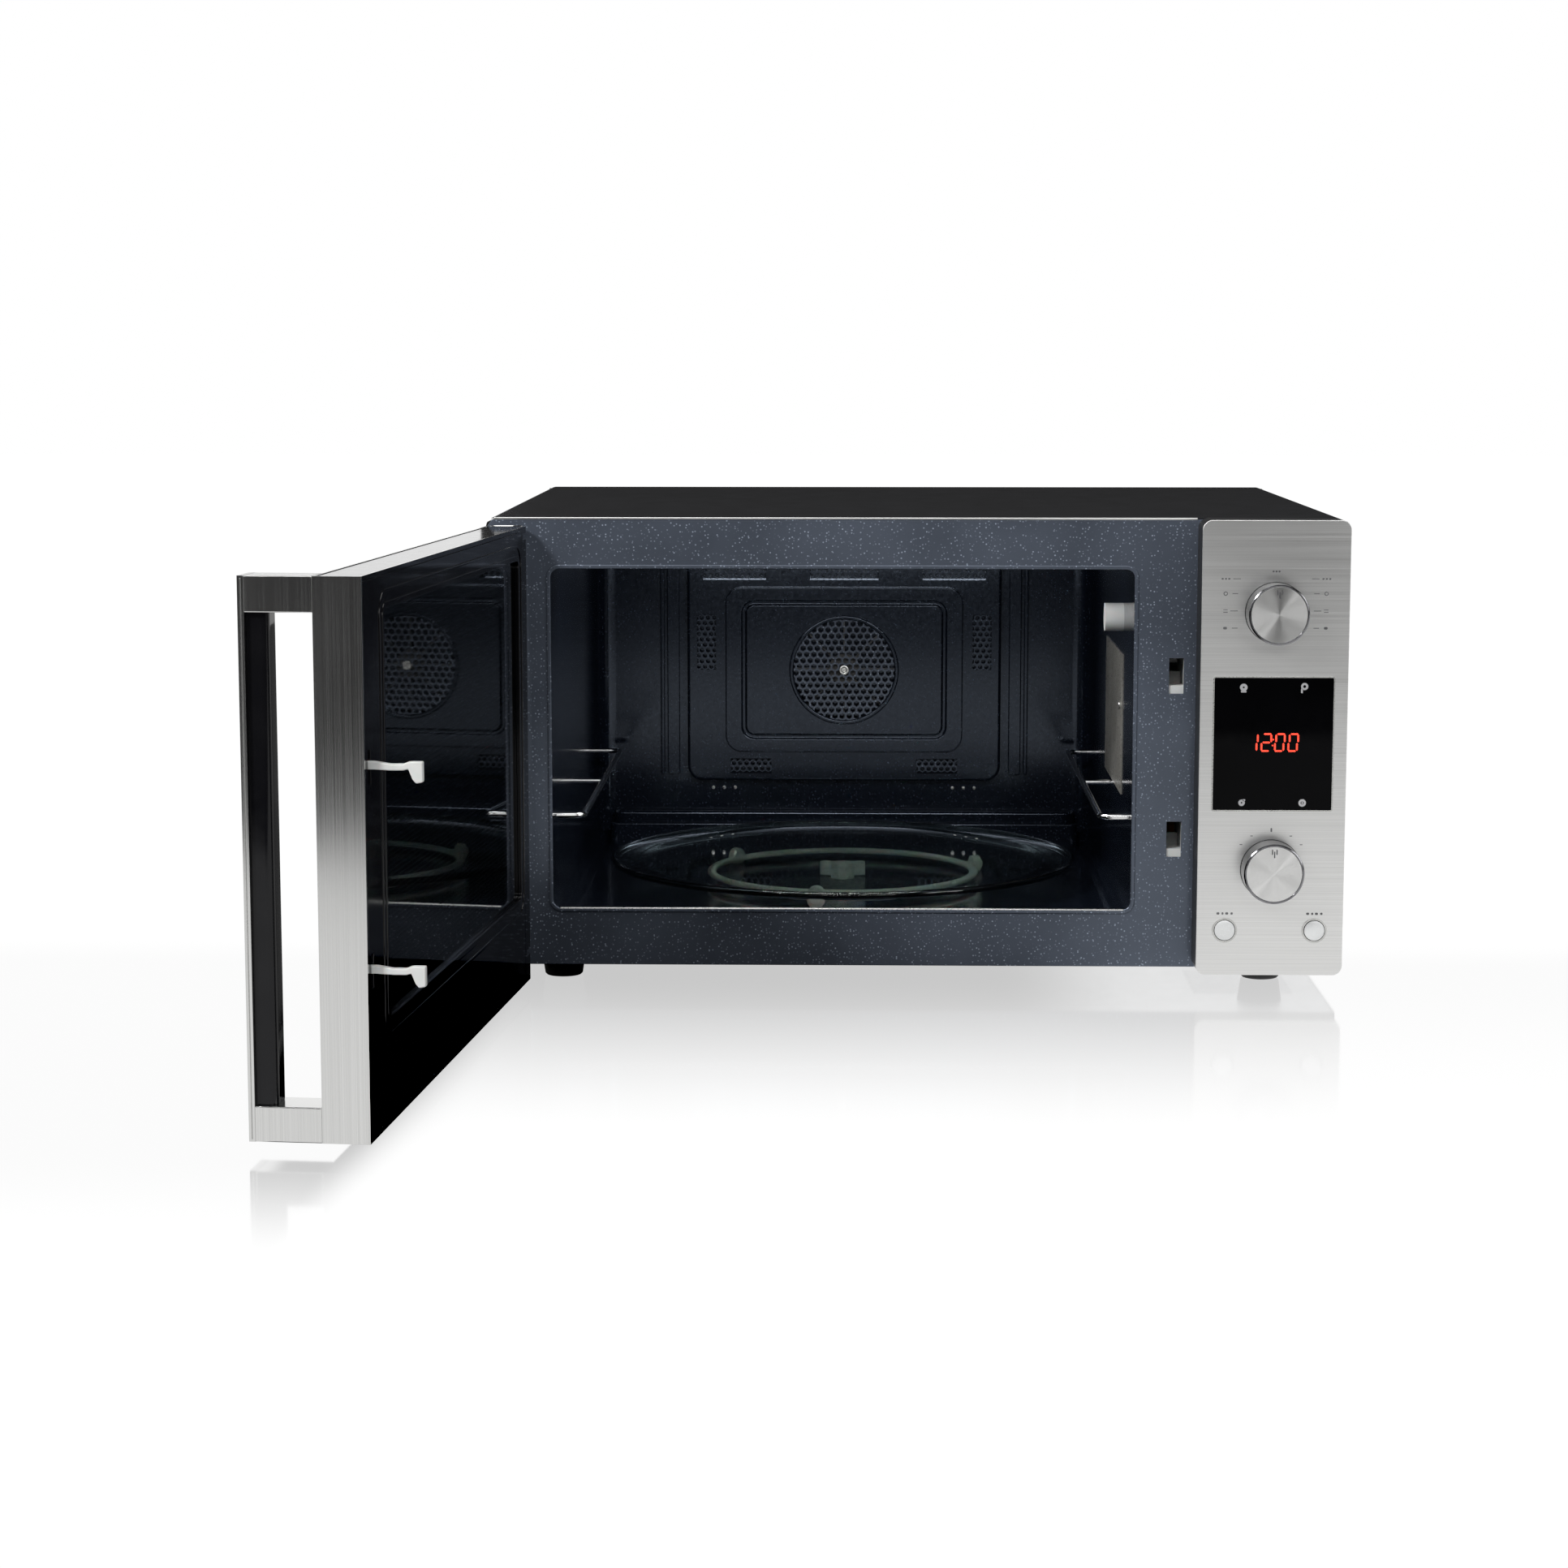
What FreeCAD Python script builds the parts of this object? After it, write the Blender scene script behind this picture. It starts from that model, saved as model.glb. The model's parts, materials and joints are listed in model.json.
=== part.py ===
import FreeCAD, Part
import math
import os
import Sketcher
from FreeCAD import Placement, Rotation, Vector

# Countertop convection microwave oven, door standing open.
# Millimetres, +Z up, the front faces -Y. The origin is the centre of the
# cabinet's footprint, on the plane that the feet stand on.

doc = FreeCAD.newDocument("MicrowaveOven")
sheet = doc.addObject("Spreadsheet::Sheet", "Dims")

DRIVING = [
    # cabinet
    ("CabinetWidth", 528.0), ("CabinetDepth", 412.0), ("CabinetHeight", 280.0),
    ("FootHeight", 14.0), ("FootRadius", 14.0), ("FootInset", 42.0),
    ("CoverSheet", 0.8), ("CoverRound", 6.0), ("RearLip", 14.0),
    ("BaseSheet", 1.0), ("BaseFlange", 12.0), ("FrameSheet", 1.2), ("RearSheet", 1.0),
    ("SheetGap", 0.2), ("VentLength", 34.0), ("VentWidth", 3.0), ("VentPitch", 8.0),
    # cavity
    ("OpeningWidth", 362.0), ("OpeningHeight", 214.0), ("OpeningSide", 38.5),
    ("OpeningSill", 35.0), ("OpeningRound", 6.0), ("FloorRise", 20.0),
    ("RearRoom", 38.8), ("CavitySheet", 0.8), ("LedgeDepth", 12.0), ("LedgeHeight", 25.0),
    # convection unit in the cavity's back wall
    ("ConvectionRise", 149.0), ("BaffleWidth", 229.0), ("BaffleHeight", 164.0),
    ("BaffleDepth", 8.0), ("PlateauWidth", 173.0), ("PlateauHeight", 121.0),
    ("PlateauDepth", 4.0), ("InletRadius", 40.0), ("InletHole", 2.2), ("InletPitch", 6.6),
    ("OutletHole", 1.8), ("OutletPitch", 5.6),
    ("ChamberWidth", 206.0), ("ChamberHeight", 142.0), ("ChamberDepth", 22.0),
    ("FanRadius", 52.0), ("FanDepth", 13.0), ("FanBlades", 8.0), ("FanHub", 11.0),
    ("HeaterRadius", 61.0), ("HeaterTube", 3.2), ("HeaterGap", 12.0), ("FanMotorRadius", 30.0),
    ("FanMotorDepth", 24.0), ("FanShaft", 3.0), ("RunningGap", 0.05),
    ("MotorCoverSize", 104.0), ("MotorCoverDepth", 24.0),
    # turntable
    ("TrayFrontGap", 28.5), ("TrayBackGap", 29.7), ("TrayGlass", 4.0), ("TrayRim", 9.0),
    ("TraySlope", 29.5), ("WheelRadius", 5.8), ("WheelWidth", 6.0), ("WheelTrack", 97.0),
    ("WheelPin", 2.0), ("WheelGap", 0.3), ("RingRadius", 89.0), ("RingWidth", 6.0),
    ("RingThick", 4.0), ("CouplerRadius", 16.0), ("CouplerStem", 4.0),
    ("TrayMotorRadius", 25.0), ("TrayMotorDepth", 14.0),
    # door
    ("DoorOpenAngle", 95.0), ("HingeInset", 13.0), ("HingeAhead", 14.0),
    ("DoorSideInset", 0.5), ("DoorClearance", 1.5), ("DoorThickness", 24.5),
    ("DoorGap", 1.5), ("DoorDrop", 7.0), ("DoorHeight", 282.0), ("DoorWall", 2.5),
    ("HingeStile", 24.0), ("HingeRound", 10.0), ("OuterRound", 8.0),
    ("GlassMarginSide", 44.0), ("GlassMarginTop", 32.0), ("GlassThick", 3.2), ("GlassLap", 8.0),
    ("InnerSide", 24.0), ("InnerFree", 45.0), ("InnerBottom", 55.0), ("InnerTop", 19.0),
    ("InnerCoverThick", 2.0), ("InnerGlass", 2.4), ("ChokeDepth", 7.0), ("ChokeSheet", 0.8),
    ("ChokeSlack", 0.3),
    ("MeshHole", 2.0), ("MeshPitch", 12.0),
    ("ViewRound", 8.0), ("GlassRound", 6.0), ("WindowRound", 5.0), ("PaneRound", 4.0),
    ("HingePin", 2.5), ("HingeArm", 2.0), ("HingeArmWidth", 13.0), ("HingePinLength", 11.0),
    ("UpperHingeDrop", 7.0), ("LowerHingeRise", 17.0), ("HingeSlack", 1.0), ("HingeSweep", 3.0),
    # handle
    ("HandleStandoff", 37.5), ("HandleBlock", 18.0), ("HandlePlate", 3.5),
    ("HandleWidth", 22.0), ("GripDepth", 11.0), ("GripInset", 3.0),
    ("HandleRound", 1.5), ("GripRound", 4.0),
    # latch
    ("LatchInset", 10.5), ("HookLength", 27.0), ("HookThick", 4.5), ("HookArm", 4.0),
    ("HookHead", 11.0), ("HookHeadLength", 10.0), ("HookRound", 3.5),
    ("UpperHook", 172.6), ("LowerHook", 70.6),
    ("LatchLift", 4.5), ("CatchGrip", 3.9), ("SlotWidth", 9.0), ("SlotHeight", 22.0),
    ("SlotDrop", 1.1), ("CatchDepth", 12.0),
    ("LatchBar", 8.0), ("SpringRadius", 3.0), ("SpringWire", 0.6),
    # control panel
    ("PanelWidth", 90.0), ("PanelDepth", 26.0), ("PanelWall", 2.0), ("PanelSkin", 1.0),
    ("PanelRound", 6.0), ("DisplayWidth", 73.0), ("DisplayHeight", 82.0),
    ("DisplayRise", 102.5), ("DisplayGlass", 2.0), ("PaneGap", 0.2),
    ("KnobRadius", 18.0), ("KnobDepth", 17.0),
    ("KnobGap", 0.6), ("KnobStem", 3.0), ("ModeKnobRise", 224.0), ("DialKnobRise", 66.0),
    ("ButtonRadius", 6.2), ("ButtonRise", 28.0), ("ButtonSpread", 27.5), ("ButtonProud", 1.6),
    ("ButtonTravel", 0.8), ("BoardThick", 1.6), ("BoardBack", 8.0),
    # side guides for a metal tray
    ("GuideWire", 2.0), ("GuideReach", 19.0), ("GuideRise", 72.0),
    ("GuideStart", 16.0), ("GuideEnd", 31.2), ("GuideBend", 8.0),
    # power unit beside the cavity
    ("MicaStart", 91.0), ("MicaLength", 136.0), ("MicaRise", 96.0), ("MicaHeight", 91.0),
    ("MicaThick", 0.6), ("GuideDuct", 40.0), ("MagnetronLength", 74.0),
    ("CapacitorStart", 40.0), ("CapacitorLength", 90.0), ("CapacitorRound", 12.0),
    ("WindingRound", 9.0), ("CoolingRadius", 46.0), ("CoolingDepth", 20.0), ("GlandRadius", 8.0),
    ("ScrewRadius", 2.0), ("ScrewHead", 3.8),
]
for row, (alias, number) in enumerate(DRIVING, start=1):
    sheet.set(f"A{row}", alias)
    sheet.set(f"B{row}", str(number))
    sheet.setAlias(f"B{row}", alias)
doc.recompute()


class Size:
    """A length that knows its number and the sheet expression that gives it."""

    def __init__(self, text, number):
        self.text = text
        self.number = number

    def __add__(self, other):
        return joined(self, "+", other)

    def __radd__(self, other):
        return joined(other, "+", self)

    def __sub__(self, other):
        return joined(self, "-", other)

    def __rsub__(self, other):
        return joined(other, "-", self)

    def __mul__(self, other):
        return joined(self, "*", other)

    def __rmul__(self, other):
        return joined(other, "*", self)

    def __truediv__(self, other):
        return joined(self, "/", other)

    def __neg__(self):
        return joined(0, "-", self)


def as_size(amount):
    if isinstance(amount, Size):
        return amount
    return Size(f"({amount})", float(amount))


def joined(first, sign, second):
    a, b = as_size(first), as_size(second)
    results = {
        "+": lambda: a.number + b.number,
        "-": lambda: a.number - b.number,
        "*": lambda: a.number * b.number,
        "/": lambda: a.number / b.number,
    }
    return Size(f"({a.text}{sign}{b.text})", results[sign]())


class SheetReader:
    """Gives each alias of the sheet as a Size: dim.CabinetWidth."""

    def __getattr__(self, alias):
        return Size(f"Dims.{alias}", float(sheet.get(alias)))


dim = SheetReader()
pieces = []
X, Y, Z = Vector(1, 0, 0), Vector(0, 1, 0), Vector(0, 0, 1)
ALONG = {"x": Rotation(Z, X), "y": Rotation(Z, Y), "z": Rotation()}


def bind(thing, prop, amount):
    thing.setExpression(prop, as_size(amount).text)


def place(thing, at, rotation=None):
    """Puts an object at a point given in Sizes, turned by a fixed rotation."""
    if rotation is not None:
        thing.Placement = Placement(Vector(), rotation)
    for axis, amount in zip("xyz", at):
        bind(thing, f"Placement.Base.{axis}", amount)
    return thing


def box(low, high):
    """A block between two opposite corners."""
    block = doc.addObject("Part::Box", "block")
    for prop, a, b in zip(("Length", "Width", "Height"), low, high):
        bind(block, prop, as_size(b) - a)
    return place(block, low)


def rod(axis, start, length, radius):
    """A cylinder that starts at a point and runs along +x, +y or +z."""
    bar = doc.addObject("Part::Cylinder", "rod")
    bind(bar, "Radius", radius)
    bind(bar, "Height", length)
    return place(bar, start, ALONG[axis])


def fuse(*parts):
    union = doc.addObject("Part::MultiFuse", "union")
    union.Shapes = list(parts)
    return union


def together(parts):
    """Identical pieces kept as one group of separate solids."""
    group = doc.addObject("Part::Compound", "group")
    group.Links = list(parts)
    return group


def cut(base, *tools):
    result = doc.addObject("Part::Cut", "cut")
    result.Base = base
    result.Tool = tools[0] if len(tools) == 1 else fuse(*tools)
    return result


def shaped(shape, name="shaped"):
    """A solid that Part's own functions made from sheet values."""
    feature = doc.addObject("Part::Feature", name)
    feature.Shape = shape
    return feature


def spread(solids):
    """Several separate solids as one object, such as a set of holes."""
    return shaped(Part.makeCompound(solids), "set")


def rounded(base, axis, radius, chosen=lambda point: True):
    """Rounds the straight edges that run along an axis and that 'chosen' picks."""
    doc.recompute()
    edges = []
    for number, edge in enumerate(base.Shape.Edges, start=1):
        if len(edge.Vertexes) != 2 or not isinstance(edge.Curve, Part.Line):
            continue
        middle = (edge.Vertexes[0].Point + edge.Vertexes[1].Point) * 0.5
        if edge.Curve.Direction.cross(axis).Length < 1e-6 and chosen(middle):
            edges.append((number, radius.number, radius.number))
    fillet = doc.addObject("Part::Fillet", "rounded")
    fillet.Base = base
    fillet.Edges = edges
    return fillet


def keep(label, thing):
    """Names a finished piece of the oven."""
    thing.Label = label
    pieces.append(thing)
    return thing


def rounded_rectangle(sketch, left, low, width, height, radius):
    """A rectangle with four equal round corners, held by named constraints."""
    x0, y0, r = left.number, low.number, radius.number
    x1, y1 = x0 + width.number, y0 + height.number
    corners = [(x1 - r, y0 + r, -90), (x1 - r, y1 - r, 0), (x0 + r, y1 - r, 90), (x0 + r, y0 + r, 180)]
    sides = [((x0 + r, y0), (x1 - r, y0)), ((x1, y0 + r), (x1, y1 - r)),
             ((x1 - r, y1), (x0 + r, y1)), ((x0, y1 - r), (x0, y0 + r))]
    first = sketch.GeometryCount
    for side, (cx, cy, start) in zip(sides, corners):
        a, b = (Vector(*point, 0) for point in side)
        sketch.addGeometry(Part.LineSegment(a, b), False)
        circle = Part.Circle(Vector(cx, cy, 0), Z, r)
        begin = math.radians(start)
        sketch.addGeometry(Part.ArcOfCircle(circle, begin, begin + math.pi / 2), False)
    for step in range(4):
        line, arc = first + 2 * step, first + 2 * step + 1
        after = first + (2 * step + 2) % 8
        sketch.addConstraint(Sketcher.Constraint("Tangent", line, 2, arc, 1))
        sketch.addConstraint(Sketcher.Constraint("Tangent", arc, 2, after, 1))
        level = "Horizontal" if step % 2 == 0 else "Vertical"
        sketch.addConstraint(Sketcher.Constraint(level, line))
    for step in range(3):
        sketch.addConstraint(Sketcher.Constraint("Equal", first + 1, first + 2 * step + 3))
    bound_constraint(sketch, Sketcher.Constraint("Radius", first + 1, r), radius)
    bottom, right, top, side = first, first + 2, first + 4, first + 6
    bound_constraint(sketch, Sketcher.Constraint("DistanceX", -1, 1, side, 1, x0), left)
    bound_constraint(sketch, Sketcher.Constraint("DistanceY", -1, 1, bottom, 1, y0), low)
    bound_constraint(sketch, Sketcher.Constraint("DistanceX", side, 1, right, 1, x1 - x0), width)
    bound_constraint(sketch, Sketcher.Constraint("DistanceY", bottom, 1, top, 1, y1 - y0), height)


def circle(sketch, x, y, radius):
    number = sketch.GeometryCount
    sketch.addGeometry(Part.Circle(Vector(x.number, y.number, 0), Z, radius.number), False)
    bound_constraint(sketch, Sketcher.Constraint("Radius", number, radius.number), radius)
    bound_constraint(sketch, Sketcher.Constraint("DistanceX", -1, 1, number, 3, x.number), x)
    bound_constraint(sketch, Sketcher.Constraint("DistanceY", -1, 1, number, 3, y.number), y)


def bound_constraint(sketch, constraint, amount):
    number = sketch.addConstraint(constraint)
    sketch.setExpression(f"Constraints[{number}]", amount.text)


def sketch_on(body, role):
    """A sketch on one of the body's own origin planes."""
    sketch = body.newObject("Sketcher::SketchObject", "outline")
    plane = [item for item in body.Origin.OriginFeatures if item.Role == role][0]
    sketch.AttachmentSupport = [(plane, "")]
    sketch.MapMode = "FlatFace"
    return sketch


def upright_plate(label, front, thickness, draw):
    """A plate in the XZ plane: its outline and holes are drawn on one sketch.

    The pad grows towards -Y, so the body stands at the plate's rear face."""
    body = doc.addObject("PartDesign::Body", label + "_body")
    sketch = sketch_on(body, "XZ_Plane")
    draw(sketch)
    pad = body.newObject("PartDesign::Pad", "pad")
    pad.Profile = sketch
    bind(pad, "Length", thickness)
    place(body, (0, front + thickness, 0))
    return body


def turned(label, profile, axis, at):
    """A turned part: the outline (radius, height) goes round the axis once."""
    body = doc.addObject("PartDesign::Body", label + "_body")
    sketch = sketch_on(body, "XZ_Plane")
    corners = [Vector(as_size(r).number, as_size(t).number, 0) for r, t in profile]
    for a, b in zip(corners, corners[1:] + corners[:1]):
        sketch.addGeometry(Part.LineSegment(a, b), False)
    count = len(profile)
    for number, (r, t) in enumerate(profile):
        before = (number - 1) % count
        sketch.addConstraint(Sketcher.Constraint("Coincident", before, 2, number, 1))
        r, t = as_size(r), as_size(t)
        bound_constraint(sketch, Sketcher.Constraint("DistanceX", -1, 1, number, 1, r.number), r)
        bound_constraint(sketch, Sketcher.Constraint("DistanceY", -1, 1, number, 1, t.number), t)
    spin = body.newObject("PartDesign::Revolution", "spin")
    spin.Profile = sketch
    spin.ReferenceAxis = (sketch, ["V_Axis"])
    spin.Angle = 360
    return place(body, at, ALONG[axis])


# Places that several pieces share.
half = dim.CabinetWidth / 2
front = -dim.CabinetDepth / 2
rear = dim.CabinetDepth / 2
under = dim.FootHeight
top = dim.FootHeight + dim.CabinetHeight
inner_half = half - dim.CoverSheet - dim.SheetGap
inner_top = top - dim.CoverSheet - dim.SheetGap
frame_back = front + dim.FrameSheet
rear_face = rear - dim.CoverSheet - dim.RearSheet

open_left = -half + dim.OpeningSide
open_right = open_left + dim.OpeningWidth
open_low = under + dim.OpeningSill
open_high = open_low + dim.OpeningHeight
floor = under + dim.FloorRise
cavity_back = rear - dim.RearRoom
cavity_x = open_left + dim.OpeningWidth / 2
tray_radius = (cavity_back - front - dim.TrayFrontGap - dim.TrayBackGap) / 2
tray_y = front + dim.TrayFrontGap + tray_radius

hinge_x = -half + dim.HingeInset
hinge_y = front - dim.HingeAhead
panel_left = half - dim.PanelWidth
panel_front = front - dim.PanelDepth
panel_x = half - dim.PanelWidth / 2

# The door is drawn closed round its hinge line: +X to its free edge, +Y to the cabinet.
door_left = dim.DoorSideInset - dim.HingeInset
door_right = dim.CabinetWidth - dim.PanelWidth - dim.DoorGap - dim.HingeInset
door_inner = dim.HingeAhead - dim.DoorClearance
door_outer = door_inner - dim.DoorThickness
door_low = under - dim.DoorDrop
door_high = door_low + dim.DoorHeight
stile_right = door_left + dim.HingeStile
latch_x = door_right - dim.LatchInset
slot_x = hinge_x + latch_x
hook_lows = [under + dim.LowerHook, under + dim.UpperHook]
arm_lows = [door_low + dim.LowerHingeRise, door_high - dim.UpperHingeDrop]


def on_door(thing):
    """Swings a piece that was drawn on the closed door to where the door stands open."""
    thing.Placement = Placement(Vector(), Rotation(Z, -dim.DoorOpenAngle.number))
    place(thing, (hinge_x, hinge_y, 0))
    bind(thing, "Placement.Rotation.Angle", dim.DoorOpenAngle)
    thing.setExpression("Placement.Rotation.Axis.x", "0")
    thing.setExpression("Placement.Rotation.Axis.y", "0")
    thing.setExpression("Placement.Rotation.Axis.z", "-1")
    return thing


def cabinet():
    spots = [(side * (half - 7), z) for side in (-1, 1) for z in (under + 60, top - 60)]
    spots += [(side * (half - 90), top - 7) for side in (-1, 1)]
    drills = [rod("y", (x, rear_face - 1, z), 5, dim.ScrewRadius) for x, z in spots]
    shell = rounded(box((-half, front, under), (half, rear, top)), Y, dim.CoverRound,
                    lambda point: point.z > under.number + 1)
    hollow = box((-half + dim.CoverSheet, front - 1, under - 1),
                 (half - dim.CoverSheet, rear - dim.CoverSheet, top - dim.CoverSheet))
    opening = box((-half + dim.RearLip, front, under - 1), (half - dim.RearLip, rear + 1, top - dim.RearLip))
    vents = []
    for wall in (-half - 1, half - 1 - dim.CoverSheet):
        for step in range(12):
            start = rear - 150 + dim.VentPitch * step
            for low in (under + 40, top - 40 - dim.VentLength):
                vents.append(box((wall, start, low), (wall + 2 + dim.CoverSheet, start + dim.VentWidth,
                                                      low + dim.VentLength)))
    keep("outer_cover", cut(shell, hollow, opening, *vents, *drills))

    sheet_back = rear_face - dim.SheetGap
    base = box((-inner_half, frame_back, under), (inner_half, sheet_back, under + dim.BaseSheet))
    flanges = [box((side, frame_back, under), (side + dim.BaseSheet, sheet_back, under + dim.BaseFlange))
               for side in (-inner_half, inner_half - dim.BaseSheet)]
    slots = [box((panel_left + 8, front + 60 + dim.VentPitch * step, under - 1),
                 (half - 18, front + 60 + dim.VentWidth + dim.VentPitch * step, under + 3))
             for step in range(10)]
    keep("base_plate", cut(fuse(base, *flanges), *slots))

    sheet_rear = box((-inner_half, rear_face, under), (inner_half, rear_face + dim.RearSheet, inner_top))
    windows = [box((panel_left - 20, rear_face - 1, under + 150 + dim.VentPitch * step),
                   (half - 24, rear + 1, under + 150 + dim.VentWidth + dim.VentPitch * step))
               for step in range(11)]
    motor_hole = rod("y", (cavity_x, rear_face - 1, under + dim.ConvectionRise), 4, dim.FanMotorRadius + 3)
    gland_hole = rod("y", (half - 60, rear_face - 1, under + 46), 4, dim.GlandRadius)
    keep("rear_panel", cut(sheet_rear, motor_hole, gland_hole, *windows, *drills))

    size = dim.MotorCoverSize / 2
    middle = under + dim.ConvectionRise
    pan = rounded(box((cavity_x - size, rear, middle - size),
                      (cavity_x + size, rear + dim.MotorCoverDepth, middle + size)), Y, dim.CoverRound)
    inside = box((cavity_x - size + 1, rear_face + dim.RearSheet, middle - size + 1),
                 (cavity_x + size - 1, rear + dim.MotorCoverDepth - 1, middle + size - 1))
    slits = [box((cavity_x - size / 2, rear, middle - size / 2 + dim.VentPitch * step),
                 (cavity_x + size / 2, rear + dim.MotorCoverDepth + 1,
                  middle - size / 2 + dim.VentWidth + dim.VentPitch * step)) for step in range(7)]
    keep("motor_cover", cut(pan, inside, *slits))

    screws = []
    for x, z in spots:
        head = rod("y", (x, rear, z), 1.8, dim.ScrewHead)
        shank = rod("y", (x, rear_face - 6, z), rear - rear_face + 6.5, dim.ScrewRadius - 0.1)
        screws.append(fuse(head, shank))
    keep("cover_screws", together(screws))

    feet = []
    for x, y in ((-1, -1), (1, -1), (-1, 1), (1, 1)):
        outline = [(0, 4), (dim.ScrewHead + 0.5, 4), (dim.ScrewHead + 0.5, 0), (dim.FootRadius - 3, 0),
                   (dim.FootRadius - 2, 1), (dim.FootRadius, dim.FootHeight), (0, dim.FootHeight)]
        feet.append(turned("foot", outline, "z",
                           (x * (half - dim.FootInset), y * (rear - dim.FootInset), 0)))
    keep("feet", together(feet))


def cavity():
    def face(sketch):
        rounded_rectangle(sketch, -inner_half, under, 2 * inner_half, inner_top - under, dim.CoverRound)
        rounded_rectangle(sketch, open_left, open_low, dim.OpeningWidth, dim.OpeningHeight, dim.OpeningRound)
        rounded_rectangle(sketch, panel_left + 12, under + 20, dim.PanelWidth - 30, dim.CabinetHeight - 40,
                          dim.OpeningRound)

    plate = upright_plate("front_frame", front, dim.FrameSheet, face)
    slots = [box((slot_x - dim.SlotWidth / 2, front - 1, low - dim.SlotDrop),
                 (slot_x + dim.SlotWidth / 2, frame_back + 1, low - dim.SlotDrop + dim.SlotHeight))
             for low in hook_lows]
    slots += [box((hinge_x - dim.HingeArmWidth / 2 - 1, front - 1, low - dim.HingeSlack),
                  (hinge_x + dim.HingeArmWidth / 2 + 1, frame_back + 1, low + dim.HingeArm + dim.HingeSlack))
              for low in arm_lows]
    keep("front_frame", cut(plate, *slots))

    wall = dim.CavitySheet
    outside = box((open_left - wall, frame_back, floor - wall),
                  (open_right + wall, cavity_back + wall, open_high + wall))
    inside = box((open_left, frame_back - 1, floor), (open_right, cavity_back, open_high))
    ledge = box((open_left, cavity_back - dim.LedgeDepth, floor - wall / 2),
                (open_right, cavity_back + wall / 2, floor + dim.LedgeHeight))
    ledge_round = rounded(ledge, X, dim.LedgeDepth - 2,
                          lambda point: point.y < cavity_back.number - 1 and point.z > floor.number + 5)
    middle = under + dim.ConvectionRise
    half_width, half_height = dim.ChamberWidth / 2 - 2, dim.ChamberHeight / 2 - 2
    chamber_hole = box((cavity_x - half_width, cavity_back - 1, middle - half_height),
                       (cavity_x + half_width, cavity_back + 2, middle + half_height))
    shaft_hole = rod("z", (cavity_x, tray_y, floor - 2), 4, dim.CouplerStem + 2)
    mica_y = front + dim.MicaStart
    mica_low = under + dim.MicaRise
    duct_hole = box((open_right - 1, mica_y + 18, mica_low + 14),
                    (open_right + 2, mica_y + dim.MicaLength - 18, mica_low + dim.MicaHeight - 14))
    lamp_hole = rod("x", (open_right - 1, mica_y + 4, under + 211), 4, 7)
    keep("cavity_liner", cut(fuse(cut(outside, inside), ledge_round), chamber_hole, shaft_hole, duct_hole,
                             lamp_hole))


def hexagons(x, z, width, height, pitch, allowed=lambda a, b: True):
    """Centres of a staggered hole pattern that fills a rectangle."""
    spots = []
    rows = int(height / (pitch * 0.866) / 2)
    columns = int(width / pitch / 2)
    for row in range(-rows, rows + 1):
        for column in range(-columns, columns + 1):
            a = column * pitch + (pitch / 2 if row % 2 else 0)
            b = row * pitch * 0.866
            if abs(a) <= width / 2 and abs(b) <= height / 2 and allowed(a, b):
                spots.append((x + a, z + b))
    return spots


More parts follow.
